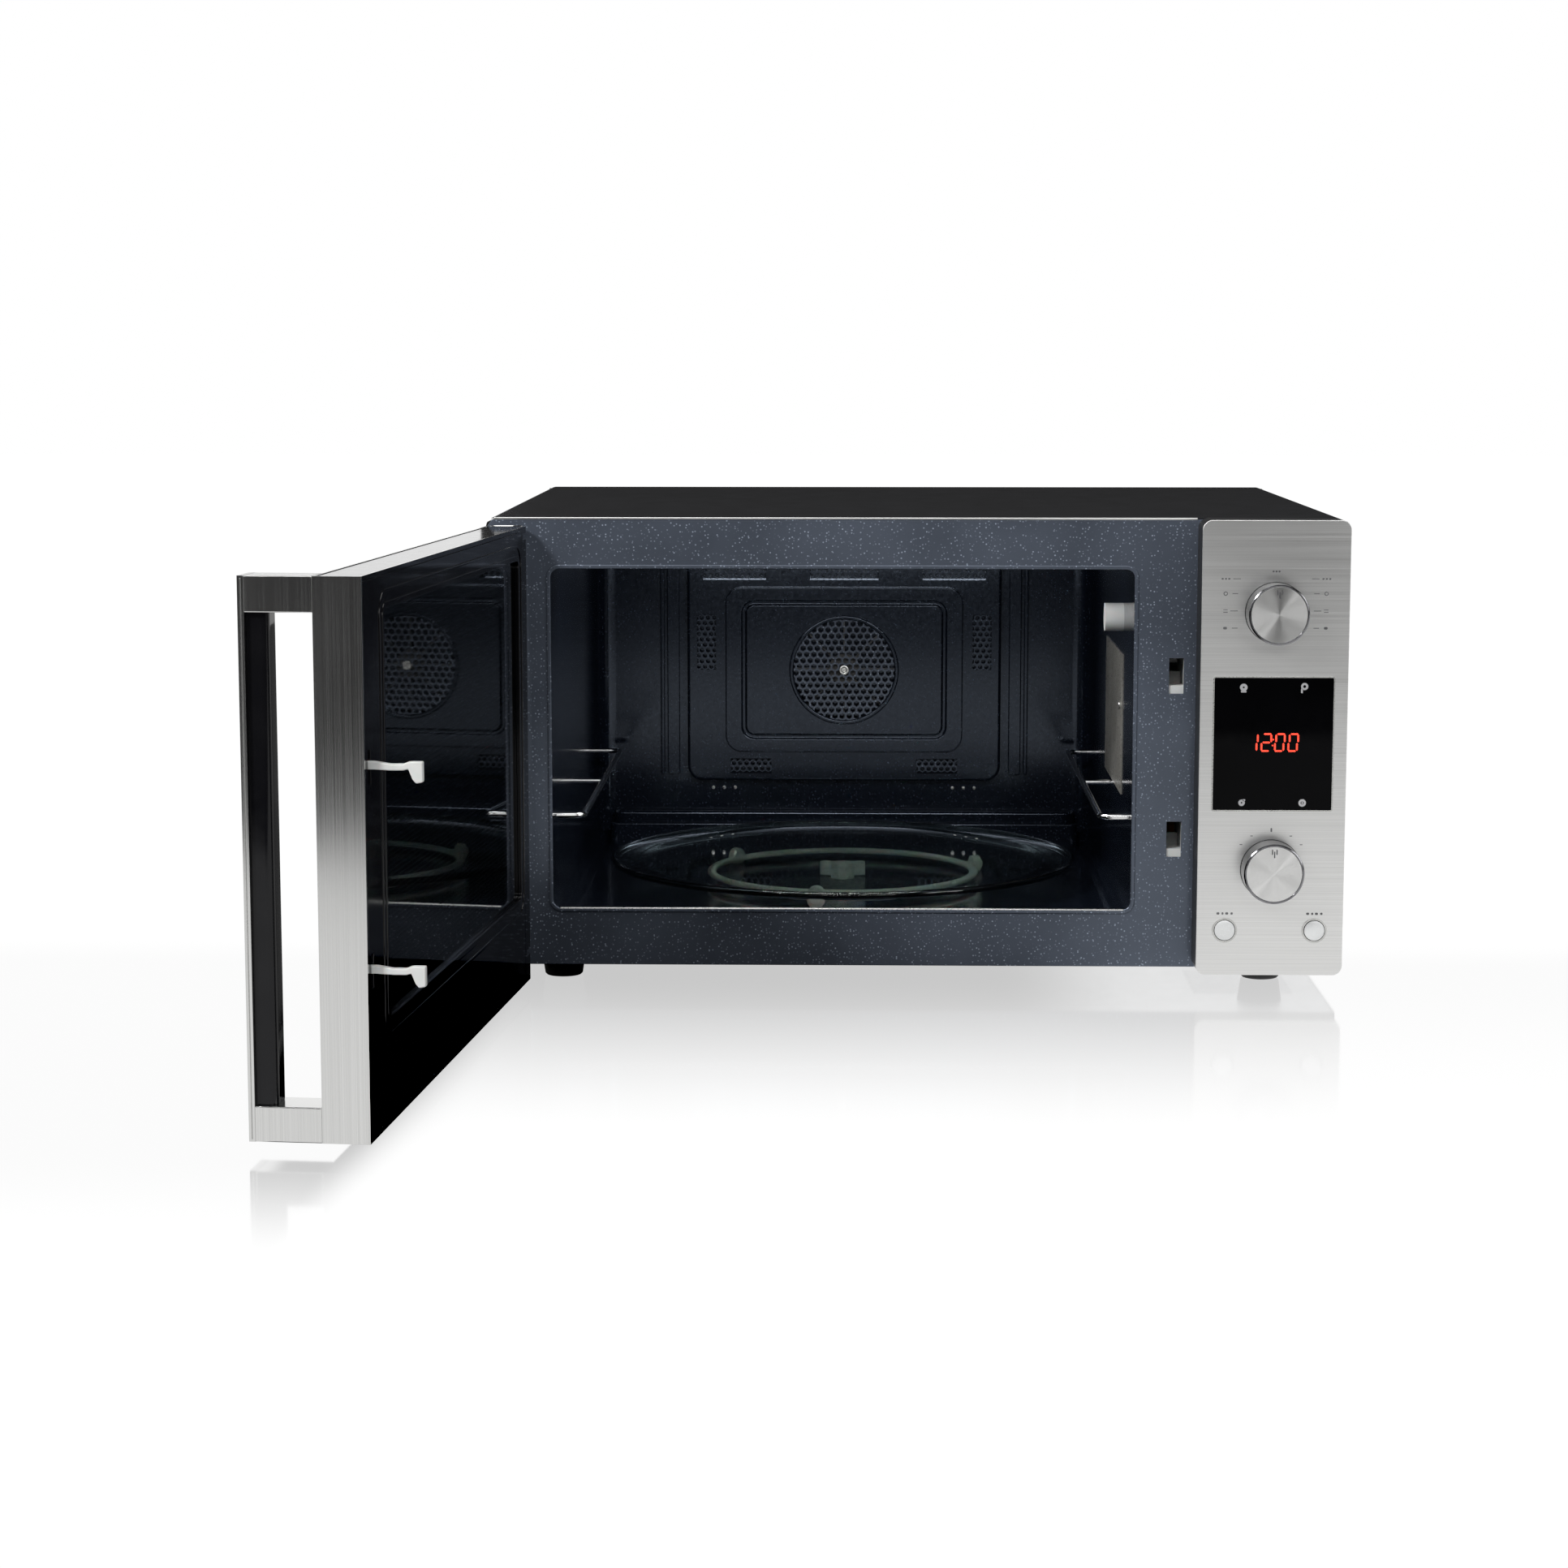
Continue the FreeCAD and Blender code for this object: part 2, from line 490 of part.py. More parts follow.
def convection():
    middle = under + dim.ConvectionRise
    wide, tall = dim.BaffleWidth / 2, dim.BaffleHeight / 2
    low_y = cavity_back - dim.BaffleDepth
    sheet_wall = dim.CavitySheet
    pan = rounded(box((cavity_x - wide, low_y, middle - tall), (cavity_x + wide, cavity_back, middle + tall)),
                  Y, dim.BaffleDepth)
    raised = rounded(box((cavity_x - dim.PlateauWidth / 2, low_y - dim.PlateauDepth,
                          middle - dim.PlateauHeight / 2),
                         (cavity_x + dim.PlateauWidth / 2, low_y + 1, middle + dim.PlateauHeight / 2)),
                     Y, dim.BaffleDepth)
    hollow = box((cavity_x - wide + sheet_wall, low_y + sheet_wall, middle - tall + sheet_wall),
                 (cavity_x + wide - sheet_wall, cavity_back + 1, middle + tall - sheet_wall))
    hollow_raised = box((cavity_x - dim.PlateauWidth / 2 + sheet_wall, low_y - dim.PlateauDepth + sheet_wall,
                         middle - dim.PlateauHeight / 2 + sheet_wall),
                        (cavity_x + dim.PlateauWidth / 2 - sheet_wall, low_y + 2,
                         middle + dim.PlateauHeight / 2 - sheet_wall))
    x, z, radius = cavity_x.number, middle.number, dim.InletRadius.number
    inlet = hexagons(x, z, 2 * radius, 2 * radius, dim.InletPitch.number,
                     lambda a, b: 6 < math.hypot(a, b) < radius - 4)
    start = low_y.number - dim.PlateauDepth.number - 1
    drills = [Part.makeCylinder(dim.InletHole.number, 4, Vector(a, start, b), Y) for a, b in inlet]
    shelf_x = (wide.number + dim.PlateauWidth.number / 2) / 2
    shelf_z = (tall.number + dim.PlateauHeight.number / 2) / 2
    patches = [(-shelf_x, 0, 14, 56), (shelf_x, 0, 14, 56), (-62, shelf_z, 46, 12), (0, shelf_z, 52, 12),
               (62, shelf_z, 46, 12), (-62, -shelf_z, 30, 10), (62, -shelf_z, 30, 10)]
    for a, b, across, height in patches:
        for spot in hexagons(x + a, z + b, across, height, dim.OutletPitch.number):
            drills.append(Part.makeCylinder(dim.OutletHole.number, 4,
                                            Vector(spot[0], low_y.number - 1, spot[1]), Y))
    keep("convection_baffle", cut(cut(fuse(pan, raised), fuse(hollow, hollow_raised)), spread(drills)))

    back = cavity_back + sheet_wall
    half_w, half_h = dim.ChamberWidth / 2, dim.ChamberHeight / 2
    chamber = box((cavity_x - half_w - 8, back, middle - half_h - 8),
                  (cavity_x + half_w + 8, back + sheet_wall, middle + half_h + 8))
    body = box((cavity_x - half_w, back, middle - half_h),
               (cavity_x + half_w, back + dim.ChamberDepth, middle + half_h))
    space = box((cavity_x - half_w + 1, back - 1, middle - half_h + 1),
                (cavity_x + half_w - 1, back + dim.ChamberDepth - 1, middle + half_h - 1))
    hole = rod("y", (cavity_x, back, middle), dim.ChamberDepth + 2, dim.FanShaft + 1.5)
    leg_drop = Size("sqrt(Dims.HeaterRadius^2-Dims.HeaterGap^2)",
                    math.sqrt(dim.HeaterRadius.number ** 2 - dim.HeaterGap.number ** 2))
    terminals = [rod("y", (cavity_x + side * dim.HeaterGap, back, middle - leg_drop), dim.ChamberDepth + 2,
                     dim.HeaterTube + 0.4) for side in (-1, 1)]
    keep("convection_chamber", cut(fuse(chamber, body), space, hole, *terminals))

    # The heater is a ring with a gap at the bottom, where both ends turn back through the chamber.
    ring, tube, gap = dim.HeaterRadius.number, dim.HeaterTube.number, dim.HeaterGap.number
    opening = math.asin(gap / ring)
    arc = Part.Arc(Vector(gap, 0, -leg_drop.number), Vector(0, 0, ring), Vector(-gap, 0, -leg_drop.number))
    section = Part.Circle(Vector(gap, 0, -leg_drop.number),
                          Vector(math.cos(opening), 0, math.sin(opening)), tube)
    heater = Part.Wire([arc.toShape()]).makePipeShell([Part.Wire([section.toShape()])], True, False)
    legs = [Part.makeCylinder(tube, dim.ChamberDepth.number + 4,
                              Vector(side * gap, -tube, -leg_drop.number), Y) for side in (-1, 1)]
    heater = shaped(heater.fuse(legs).removeSplitter(), "heater")
    keep("ring_heater", place(heater, (cavity_x, back + 9, middle)))

    motor_y = back + dim.ChamberDepth
    motor = rod("y", (cavity_x, motor_y + 1, middle), dim.FanMotorDepth, dim.FanMotorRadius)
    flange = box((cavity_x - dim.FanMotorRadius - 12, motor_y, middle - 9),
                 (cavity_x + dim.FanMotorRadius + 12, motor_y + 1.5, middle + 9))
    bore = rod("y", (cavity_x, motor_y - 1, middle), dim.FanMotorDepth / 2, dim.FanShaft + dim.RunningGap)
    keep("convection_motor", cut(fuse(motor, flange), bore))

    fan_y = cavity_back - 2
    hub = rod("y", (cavity_x, fan_y, middle), dim.FanDepth, dim.FanHub)
    disc = rod("y", (cavity_x, fan_y + dim.FanDepth - 1, middle), 1, dim.FanRadius)
    shaft = rod("y", (cavity_x, fan_y, middle), motor_y + dim.FanMotorDepth / 2 - 3 - fan_y, dim.FanShaft)
    blades = []
    for step in range(int(dim.FanBlades.number)):
        turn = Placement(Vector(x, 0, z), Rotation(Y, 360.0 / dim.FanBlades.number * step))
        blade = Part.makeBox(1.2, dim.FanDepth.number, dim.FanRadius.number - dim.FanHub.number,
                             Vector(-0.6, fan_y.number, dim.FanHub.number - 0.5))
        blade.Placement = turn
        blades.append(blade)
    keep("convection_fan", fuse(hub, disc, shaft, *[shaped(blade, "blade") for blade in blades]))


def turntable():
    y = tray_y
    wheel_middle = floor + dim.WheelRadius + dim.WheelGap
    glass = floor + 2 * dim.WheelRadius + 2 * dim.WheelGap
    radius, well = tray_radius, tray_radius - dim.TraySlope
    dish = [(0, glass), (well + 4, glass), (radius - 1, glass + dim.TrayRim - dim.TrayGlass + 1),
            (radius, glass + dim.TrayRim - 1), (radius - 1, glass + dim.TrayRim),
            (radius - 5, glass + dim.TrayRim), (well, glass + dim.TrayGlass), (0, glass + dim.TrayGlass)]
    keep("glass_tray", turned("glass_tray", dish, "z", (cavity_x, y, 0)))

    hub = rod("z", (cavity_x, y, floor + 0.5), glass - floor - 0.7, dim.CouplerRadius * 0.5)
    stem = rod("z", (cavity_x, y, floor - 8), 9, dim.CouplerStem)
    lobes = []
    for step in range(3):
        wing = Part.makeBox(dim.CouplerRadius.number, 6, (glass - floor).number - 3,
                            Vector(0, -3, floor.number + 2.5))
        wing.Placement = Placement(Vector(cavity_x.number, y.number, 0), Rotation(Z, 30 + 120 * step))
        lobes.append(shaped(wing, "lobe"))
    keep("turntable_coupler", fuse(hub, stem, *lobes))

    motor_top = floor - dim.CavitySheet
    motor = rod("z", (cavity_x, y, motor_top - dim.TrayMotorDepth), dim.TrayMotorDepth, dim.TrayMotorRadius)
    ears = box((cavity_x - dim.TrayMotorRadius - 8, y - 6, motor_top - 1.5),
               (cavity_x + dim.TrayMotorRadius + 8, y + 6, motor_top))
    bore = rod("z", (cavity_x, y, floor - 10), 12, dim.CouplerStem + dim.RunningGap)
    keep("turntable_motor", cut(fuse(motor, ears), bore))

    low = wheel_middle - dim.RingThick / 2
    outer = rod("z", (cavity_x, y, low), dim.RingThick, dim.RingRadius + dim.RingWidth / 2)
    inner = rod("z", (cavity_x, y, low - 1), dim.RingThick + 2, dim.RingRadius - dim.RingWidth / 2)
    ring = cut(outer, inner)
    pins, wheels = [], []
    inner_end = dim.RingRadius.number
    wheel_start = dim.WheelTrack.number - dim.WheelWidth.number / 2
    wheel_end = wheel_start + dim.WheelWidth.number
    for step in range(3):
        turn = Placement(Vector(cavity_x.number, y.number, wheel_middle.number), Rotation(Z, 20 + 120 * step))
        pin = Part.makeCylinder(dim.WheelPin.number - 0.06, wheel_end + 1.5 - inner_end,
                                Vector(inner_end, 0, 0), X)
        head = Part.makeCylinder(dim.WheelPin.number + 1, 1, Vector(wheel_end + 0.6, 0, 0), X)
        pin = pin.fuse(head)
        pin.Placement = turn
        pins.append(shaped(pin, "pin"))
        wheel = Part.makeCylinder(dim.WheelRadius.number, dim.WheelWidth.number, Vector(wheel_start, 0, 0), X)
        wheel = wheel.cut(Part.makeCylinder(dim.WheelPin.number, 20, Vector(wheel_start - 5, 0, 0), X))
        wheel.Placement = turn
        wheels.append(shaped(wheel, "wheel"))
    keep("roller_ring", fuse(ring, *pins))
    for number, wheel in enumerate(wheels, start=1):
        keep(f"roller_{number}", wheel)


def side_guides():
    """A bent wire on each side wall, for a metal tray: two legs and a long bar."""
    wire, reach, bend = dim.GuideWire.number, dim.GuideReach.number, dim.GuideBend.number
    start = front.number + dim.GuideStart.number
    end = cavity_back.number - dim.GuideEnd.number
    z = floor.number + dim.GuideRise.number
    rails = []
    for wall, inward in ((open_left.number, 1), (open_right.number, -1)):
        far = wall + inward * reach
        corner = wall + inward * (reach - bend)
        diagonal = wall + inward * (reach - bend * (1 - math.sqrt(0.5)))
        near_45 = bend * (1 - math.sqrt(0.5))
        edges = [
            Part.LineSegment(Vector(wall, start, z), Vector(corner, start, z)),
            Part.Arc(Vector(corner, start, z), Vector(diagonal, start + near_45, z),
                     Vector(far, start + bend, z)),
            Part.LineSegment(Vector(far, start + bend, z), Vector(far, end - bend, z)),
            Part.Arc(Vector(far, end - bend, z), Vector(diagonal, end - near_45, z), Vector(corner, end, z)),
            Part.LineSegment(Vector(corner, end, z), Vector(wall, end, z)),
        ]
        path = Part.Wire([edge.toShape() for edge in edges])
        section = Part.Wire([Part.Circle(Vector(wall, start, z), X, wire).toShape()])
        rail = path.makePipeShell([section], True, False)
        stub = Part.makeCylinder(wire, reach - 1, Vector(min(wall, far - inward), (start + end) / 2, z), X)
        rails.append(shaped(rail.fuse(stub), "guide"))
    keep("tray_guides", together(rails))


def power_unit():
    y = front + dim.MicaStart
    z = under + dim.MicaRise
    keep("waveguide_cover", box((open_right - dim.MicaThick, y, z),
                                (open_right, y + dim.MicaLength, z + dim.MicaHeight)))
    wall = open_right + dim.CavitySheet
    duct = box((wall, y + 10, z + 6), (wall + dim.GuideDuct, y + dim.MicaLength - 10, z + dim.MicaHeight - 6))
    space = box((wall - 1, y + 11, z + 7), (wall + dim.GuideDuct - 1, y + dim.MicaLength - 11,
                                            z + dim.MicaHeight - 7))
    middle_y, middle_z = y + dim.MicaLength / 2, z + dim.MicaHeight / 2
    port = rod("x", (wall + dim.GuideDuct - 3, middle_y, middle_z), 6, 9)
    keep("waveguide", cut(duct, space, port))

    # Magnetron: a yoke with cooling fins, and the antenna through the waveguide's port.
    start = wall + dim.GuideDuct
    length = dim.MagnetronLength
    plates = [box((start + length * share, middle_y - 42, middle_z - 38),
                  (start + length * share + 2, middle_y + 42, middle_z + 38)) for share in (0, 0.62)]
    sides = [box((start, middle_y + side, middle_z - 38), (start + length * 0.62 + 2, middle_y + side + 2,
                                                         middle_z + 38)) for side in (-42, 40)]
    fins = [box((start + 8 + 6 * step, middle_y - 40, middle_z - 34),
                (start + 9 + 6 * step, middle_y + 40, middle_z + 34)) for step in range(6)]
    core = rod("x", (start, middle_y, middle_z), length * 0.62, 17)
    antenna = rod("x", (start - 26, middle_y, middle_z), 27, 7.5)
    filter_box = box((start + length * 0.62, middle_y - 24, middle_z - 20), (start + length, middle_y + 24,
                                                                           middle_z + 20))
    keep("magnetron", fuse(*plates, *sides, *fins, core, antenna, filter_box))

    # Transformer on the base plate: a laminated core with a winding through its two windows.
    deck = under + dim.BaseSheet
    left, back = open_right + 22, rear - 158
    core = box((left, back, deck + 3), (left + 84, back + 90, deck + 73))
    foot_plate = box((left - 4, back + 6, deck), (left + 88, back + 84, deck + 3))
    windows = [box((start, back - 1, deck + 17), (start + 21, back + 91, deck + 59))
               for start in (left + 14, left + 49)]
    keep("transformer_core", cut(fuse(core, foot_plate), *windows))
    coil = box((left + 15, back - 14, deck + 18), (left + 69, back + 104, deck + 58))
    coil_round = rounded(coil, Z, dim.WindingRound)
    tongue = box((left + 35, back - 2, deck + 10), (left + 49, back + 92, deck + 66))
    keep("transformer_winding", cut(coil_round, tongue))

    can_y = front + dim.CapacitorStart
    can_end = can_y + dim.CapacitorLength
    can = rounded(box((half - 88, can_y, deck), (half - 28, can_end, deck + 34)), Y, dim.CapacitorRound)
    posts = [rod("y", (half - 70 + 24 * step, can_end, deck + 17), 8, 3) for step in range(2)]
    keep("capacitor", fuse(can, *posts))

    # Cooling fan behind the magnetron, blowing forward through a duct.
    fan_x, fan_z = half - 62, under + 178
    fan_y = rear - 60
    radius = dim.CoolingRadius
    reach = radius + 7
    shroud = box((fan_x - reach, fan_y, fan_z - reach),
                 (fan_x + reach, fan_y + dim.CoolingDepth + 8, fan_z + reach))
    tunnel = rod("y", (fan_x, fan_y - 1, fan_z), dim.CoolingDepth + 10, radius + 3)
    keep("fan_shroud", cut(shroud, tunnel))
    hub = rod("y", (fan_x, fan_y + 3, fan_z), dim.CoolingDepth, 14)
    blades = []
    for step in range(5):
        blade = Part.makeBox(2, dim.CoolingDepth.number - 4, radius.number - 12, Vector(-1, -8, 12))
        blade.rotate(Vector(), Z, 38)
        blade.Placement = Placement(Vector(fan_x.number, fan_y.number + 12, fan_z.number),
                                    Rotation(Y, 72 * step)).multiply(blade.Placement)
        blades.append(shaped(blade, "blade"))
    shaft = rod("y", (fan_x, fan_y + 3, fan_z), dim.CoolingDepth + 20, 2.5)
    keep("cooling_fan", fuse(hub, shaft, *blades))
    motor_y = fan_y + dim.CoolingDepth + 12
    motor = box((fan_x - 22, motor_y, fan_z - 18), (fan_x + 22, motor_y + 22, fan_z + 18))
    arms = [box((fan_x - radius - 5, motor_y - 4, low), (fan_x + radius + 5, motor_y, low + 8))
            for low in (fan_z - 18, fan_z + 10)]
    bore = rod("y", (fan_x, motor_y - 6, fan_z), 22, 2.5 + dim.RunningGap)
    keep("cooling_motor", cut(fuse(motor, *arms), bore))
    duct_end = y + dim.MicaLength + 4
    sleeve = box((fan_x - 40, duct_end, fan_z - 44), (fan_x + 44, fan_y, fan_z + 44))
    bore = box((fan_x - 39, duct_end - 1, fan_z - 43), (fan_x + 43, fan_y + 1, fan_z + 43))
    keep("air_duct", cut(sleeve, bore))

    # Oven lamp in front of the waveguide, behind a small light-grey cap in the cavity wall.
    lamp_y, lamp_z = y + 4, under + 211
    cap = rod("x", (open_right - 12, lamp_y, lamp_z), 12, 9)
    collar = rod("x", (open_right - 0.5, lamp_y, lamp_z), 4, 6.6)
    socket = rod("x", (open_right - 11, lamp_y, lamp_z), 15, 5.5)
    keep("lamp_cover", cut(fuse(cap, collar), socket))
    bulb = rod("x", (open_right - 8, lamp_y, lamp_z), 26, 4.6)
    bulb_end = turned("bulb_tip", [(0, -3), (3, -2), (4.6, 0), (0, 0)], "x", (open_right - 8, lamp_y, lamp_z))
    keep("lamp_bulb", fuse(bulb, bulb_end))
    holder = box((open_right + 8, lamp_y - 9, lamp_z - 9), (open_right + 30, lamp_y + 9, lamp_z + 9))
    foot_plate = box((wall, lamp_y - 9, lamp_z + 9), (open_right + 30, lamp_y + 9, lamp_z + 10.5))
    bore = rod("x", (open_right + 7, lamp_y, lamp_z), 11, 4.6)
    keep("lamp_holder", cut(fuse(holder, foot_plate), bore))

    roof = open_high + dim.CavitySheet
    can = rod("z", (cavity_x, front + 110, roof), 8, 9)
    tabs = box((cavity_x - 4, front + 92, roof + 8), (cavity_x + 4, front + 128, roof + 9))
    keep("thermostat", fuse(can, tabs))
    board = box((half - 100, rear_face - 26, top - 50), (half - 30, rear_face, top - 48))
    lumps = [box((left, rear_face - 22, top - 48), (left + 18, rear_face - 4, top - 30))
             for left in (half - 96, half - 72, half - 48)]
    keep("filter_board", fuse(board, *lumps))

    gland_x, gland_z = half - 60, under + 46
    collar = rod("y", (gland_x, rear_face + dim.RearSheet, gland_z), 4, dim.GlandRadius + 4)
    neck = rod("y", (gland_x, rear_face - 6, gland_z), 12, dim.GlandRadius - 0.2)
    hole = rod("y", (gland_x, rear_face - 8, gland_z), 20, 3.6)
    keep("cable_inlet", cut(fuse(collar, neck), hole))


def hinges():
    """Two plates behind the front frame, each with an arm and a pin for the door."""
    width = dim.HingeArmWidth / 2
    plates = []
    for low, upward in ((arm_lows[0], 1), (arm_lows[1], -1)):
        arm = box((hinge_x - width, hinge_y, low), (hinge_x + width, frame_back + 1, low + dim.HingeArm))
        tip = rod("z", (hinge_x, hinge_y, low), dim.HingeArm, width)
        flange_low = low if upward > 0 else low - 16
        flange = box((hinge_x - width, frame_back, flange_low),
                     (hinge_x + width + 6, frame_back + 1.5, flange_low + 16 + dim.HingeArm))
        pin_low = low + dim.HingeArm if upward > 0 else low - dim.HingePinLength
        pin = rod("z", (hinge_x, hinge_y, pin_low), dim.HingePinLength, dim.HingePin)
        plates.append(fuse(arm, tip, flange, pin))
    keep("hinge_plates", together(plates))


def door():
    slab = box((door_left, door_outer, door_low), (door_right, door_inner, door_high))
    slab = rounded(slab, Z, dim.HingeRound,
                   lambda point: point.x < 0 and point.y > door_inner.number - 1)
    slab = rounded(slab, Z, dim.OuterRound,
                   lambda point: point.x < 0 and point.y < door_outer.number + 1)
    wall = dim.DoorWall
    pocket = box((stile_right, door_outer + wall, door_low + wall),
                 (door_right - wall, door_inner + 1, door_high - wall))
    view = rounded(box((stile_right + dim.GlassMarginSide, door_outer - 1, door_low + dim.GlassMarginTop),
                       (door_right - dim.GlassMarginSide, door_outer + wall + 1,
                        door_high - dim.GlassMarginTop)), Y, dim.ViewRound)
    tools = [pocket, view]
    for low, upward in ((arm_lows[0], 1), (arm_lows[1], -1)):
        reach = dim.HingeArmWidth / 2 + 1
        tools.append(box((door_left - 1, -reach - dim.HingeSweep, low - dim.HingeSlack),
                         (reach, door_inner + 1, low + dim.HingeArm + dim.HingeSlack)))
        pin_low = low + dim.HingeArm if upward > 0 else low - dim.HingePinLength
        tools.append(rod("z", (0, 0, pin_low - 0.5), dim.HingePinLength + 1, dim.HingePin + dim.RunningGap))
    keep("door_frame", on_door(cut(slab, *tools)))

    glass_back = door_outer + wall
    glass = box((stile_right + dim.GlassMarginSide - dim.GlassLap, glass_back,
                 door_low + dim.GlassMarginTop - dim.GlassLap),
                (door_right - dim.GlassMarginSide + dim.GlassLap, glass_back + dim.GlassThick,
                 door_high - dim.GlassMarginTop + dim.GlassLap))
    keep("door_glass", on_door(rounded(glass, Y, dim.GlassRound)))

    # Windows in the choke plate and in the inner cover share one outline.
    win_left, win_right = stile_right + dim.InnerSide / 2, door_right - dim.InnerFree
    win_low, win_high = door_low + dim.InnerBottom, door_high - dim.InnerTop
    latch_wall = latch_x - dim.LatchBar / 2 - 1.5
    cover_front = door_inner - dim.InnerCoverThick
    sheet_wall = dim.ChokeSheet
    choke_front = cover_front - dim.ChokeDepth
    pan_low, pan_high = door_low + wall + dim.ChokeSlack, door_high - wall - dim.ChokeSlack
    pan_left = stile_right + dim.ChokeSlack
    pan = box((pan_left, choke_front, pan_low), (latch_wall, cover_front, pan_high))
    dish = box((pan_left + sheet_wall, choke_front + sheet_wall, pan_low + sheet_wall),
               (latch_wall - sheet_wall, cover_front + 1, pan_high - sheet_wall))
    drills = [Part.makeCylinder(dim.MeshHole.number, 3, Vector(x, choke_front.number - 1, z), Y)
              for x, z in hexagons((win_left.number + win_right.number) / 2,
                                   (win_low.number + win_high.number) / 2,
                                   (win_right - win_left).number - 12, (win_high - win_low).number - 12,
                                   dim.MeshPitch.number)]
    keep("choke_plate", on_door(cut(cut(pan, dish), spread(drills))))

    cover = box((stile_right + 0.2, cover_front, door_low + wall + 0.2),
                (door_right - wall - 0.2, door_inner, door_high - wall - 0.2))
    window = rounded(box((win_left, cover_front - 1, win_low), (win_right, door_inner + 1, win_high)),
                     Y, dim.WindowRound)
    slots = [box((latch_x - dim.HookThick / 2 - 0.6, cover_front - 1, low - 0.8),
                 (latch_x + dim.HookThick / 2 + 0.6, door_inner + 1,
                  low + dim.HookHead + dim.LatchLift + 0.8))
             for low in hook_lows]
    keep("inner_cover", on_door(cut(cover, window, *slots)))
    pane = rounded(box((win_left - 5, cover_front - dim.InnerGlass, win_low - 5),
                       (win_right + 5, cover_front, win_high + 5)), Y, dim.PaneRound)
    keep("inner_window", on_door(pane))

    # Handle: a full-height plate held off the door by two blocks, and a grip behind it.
    handle_out = door_outer - dim.HandleStandoff
    handle_left = door_right - dim.HandleWidth
    plate = box((handle_left, handle_out, door_low), (door_right, handle_out + dim.HandlePlate, door_high))
    blocks = [box((handle_left, handle_out + dim.HandlePlate - 0.5, low),
                  (door_right, door_outer, low + dim.HandleBlock))
              for low in (door_low, door_high - dim.HandleBlock)]
    keep("door_handle", on_door(rounded(fuse(plate, *blocks), Z, dim.HandleRound,
                                        lambda point: point.y < handle_out.number + 1)))
    grip = box((handle_left + 2, handle_out + dim.HandlePlate, door_low + dim.HandleBlock),
               (door_right - dim.GripInset, handle_out + dim.HandlePlate + dim.GripDepth,
                door_high - dim.HandleBlock))
    keep("handle_grip", on_door(rounded(grip, Z, dim.GripRound,
                                        lambda point: point.y > handle_out.number + 8)))

    # Latch bar: it slides up and down inside the door's free edge and carries two hooks.
    bar_back = cover_front - 1.2
    bar_low, bar_high = hook_lows[0] - 22, hook_lows[1] + 26
    bar = box((latch_x - dim.LatchBar / 2, bar_back - 8, bar_low),
              (latch_x + dim.LatchBar / 2, bar_back, bar_high))
    tip = door_inner + dim.HookLength
    hooks = []
    for low in hook_lows:
        arm_low = low + dim.HookHead - dim.HookArm
        hooks.append(box((latch_x - dim.HookThick / 2, bar_back - 1, arm_low),
                         (latch_x + dim.HookThick / 2, tip, arm_low + dim.HookArm)))
        head = box((latch_x - dim.HookThick / 2, tip - dim.HookHeadLength, low),
                   (latch_x + dim.HookThick / 2, tip, arm_low + 1))
        hooks.append(rounded(head, X, dim.HookRound,
                             lambda point: point.z < low.number + 1 and point.y > tip.number - 1))
    keep("latch_bar", on_door(fuse(bar, *hooks)))

    # Latch spring: a coil between the frame's lower edge and the bar, which it pulls down.
    radius, wire = dim.SpringRadius.number, dim.SpringWire.number
    end_gap = wire + dim.RunningGap.number
    spring_low = door_low.number + dim.DoorWall.number + end_gap
    length = bar_low.number - end_gap - spring_low
    helix = Part.makeHelix(length / 9, length, radius)
    helix.Placement = Placement(Vector(latch_x.number, bar_back.number - 4, spring_low), Rotation())
    start = Vector(latch_x.number + radius, bar_back.number - 4, spring_low)
    section = Part.Wire([Part.Circle(start, Y, wire).toShape()])
    coil = Part.Wire(helix.Edges).makePipeShell([section], True, True)
    keep("latch_spring", on_door(shaped(coil, "coil")))


def latch_board():
    """A moulded board behind the frame: it has the two catches and holds the switches."""
    x = slot_x
    low, high = hook_lows[0] - 18, hook_lows[1] + 24
    side = x + dim.SlotWidth / 2
    board = box((side + 0.4, frame_back, low), (side + 2.6, frame_back + 46, high))
    flange = box((x - dim.SlotWidth / 2 - 8, frame_back, low), (side + 0.5, frame_back + 2, high))
    catches, openings = [], []
    for hook_low in hook_lows:
        slot_low = hook_low - dim.SlotDrop
        catch_top = hook_low + dim.CatchGrip
        openings.append(box((x - dim.SlotWidth / 2, frame_back - 1, catch_top),
                            (x + dim.SlotWidth / 2, frame_back + 3, slot_low + dim.SlotHeight)))
        catches.append(box((x - dim.SlotWidth / 2 - 1, frame_back, slot_low - 3),
                           (x + dim.SlotWidth / 2 + 0.5, frame_back + dim.CatchDepth, catch_top)))
        rib_y = frame_back + dim.HookLength + 0.5
        catches.append(box((x - dim.SlotWidth / 2 - 1, rib_y, slot_low - 3),
                           (x + dim.SlotWidth / 2 + 0.5, rib_y + 2.5, slot_low + dim.SlotHeight / 2)))
    keep("latch_board", cut(fuse(board, flange, *catches), *openings))
    switches = []
    for hook_low in hook_lows:
        case = box((x + dim.SlotWidth / 2 + 2.6, frame_back + 22, hook_low - 8),
                   (x + dim.SlotWidth / 2 + 9, frame_back + 42, hook_low + 20))
        switches.append(case)
    keep("interlock_switches", together(switches))


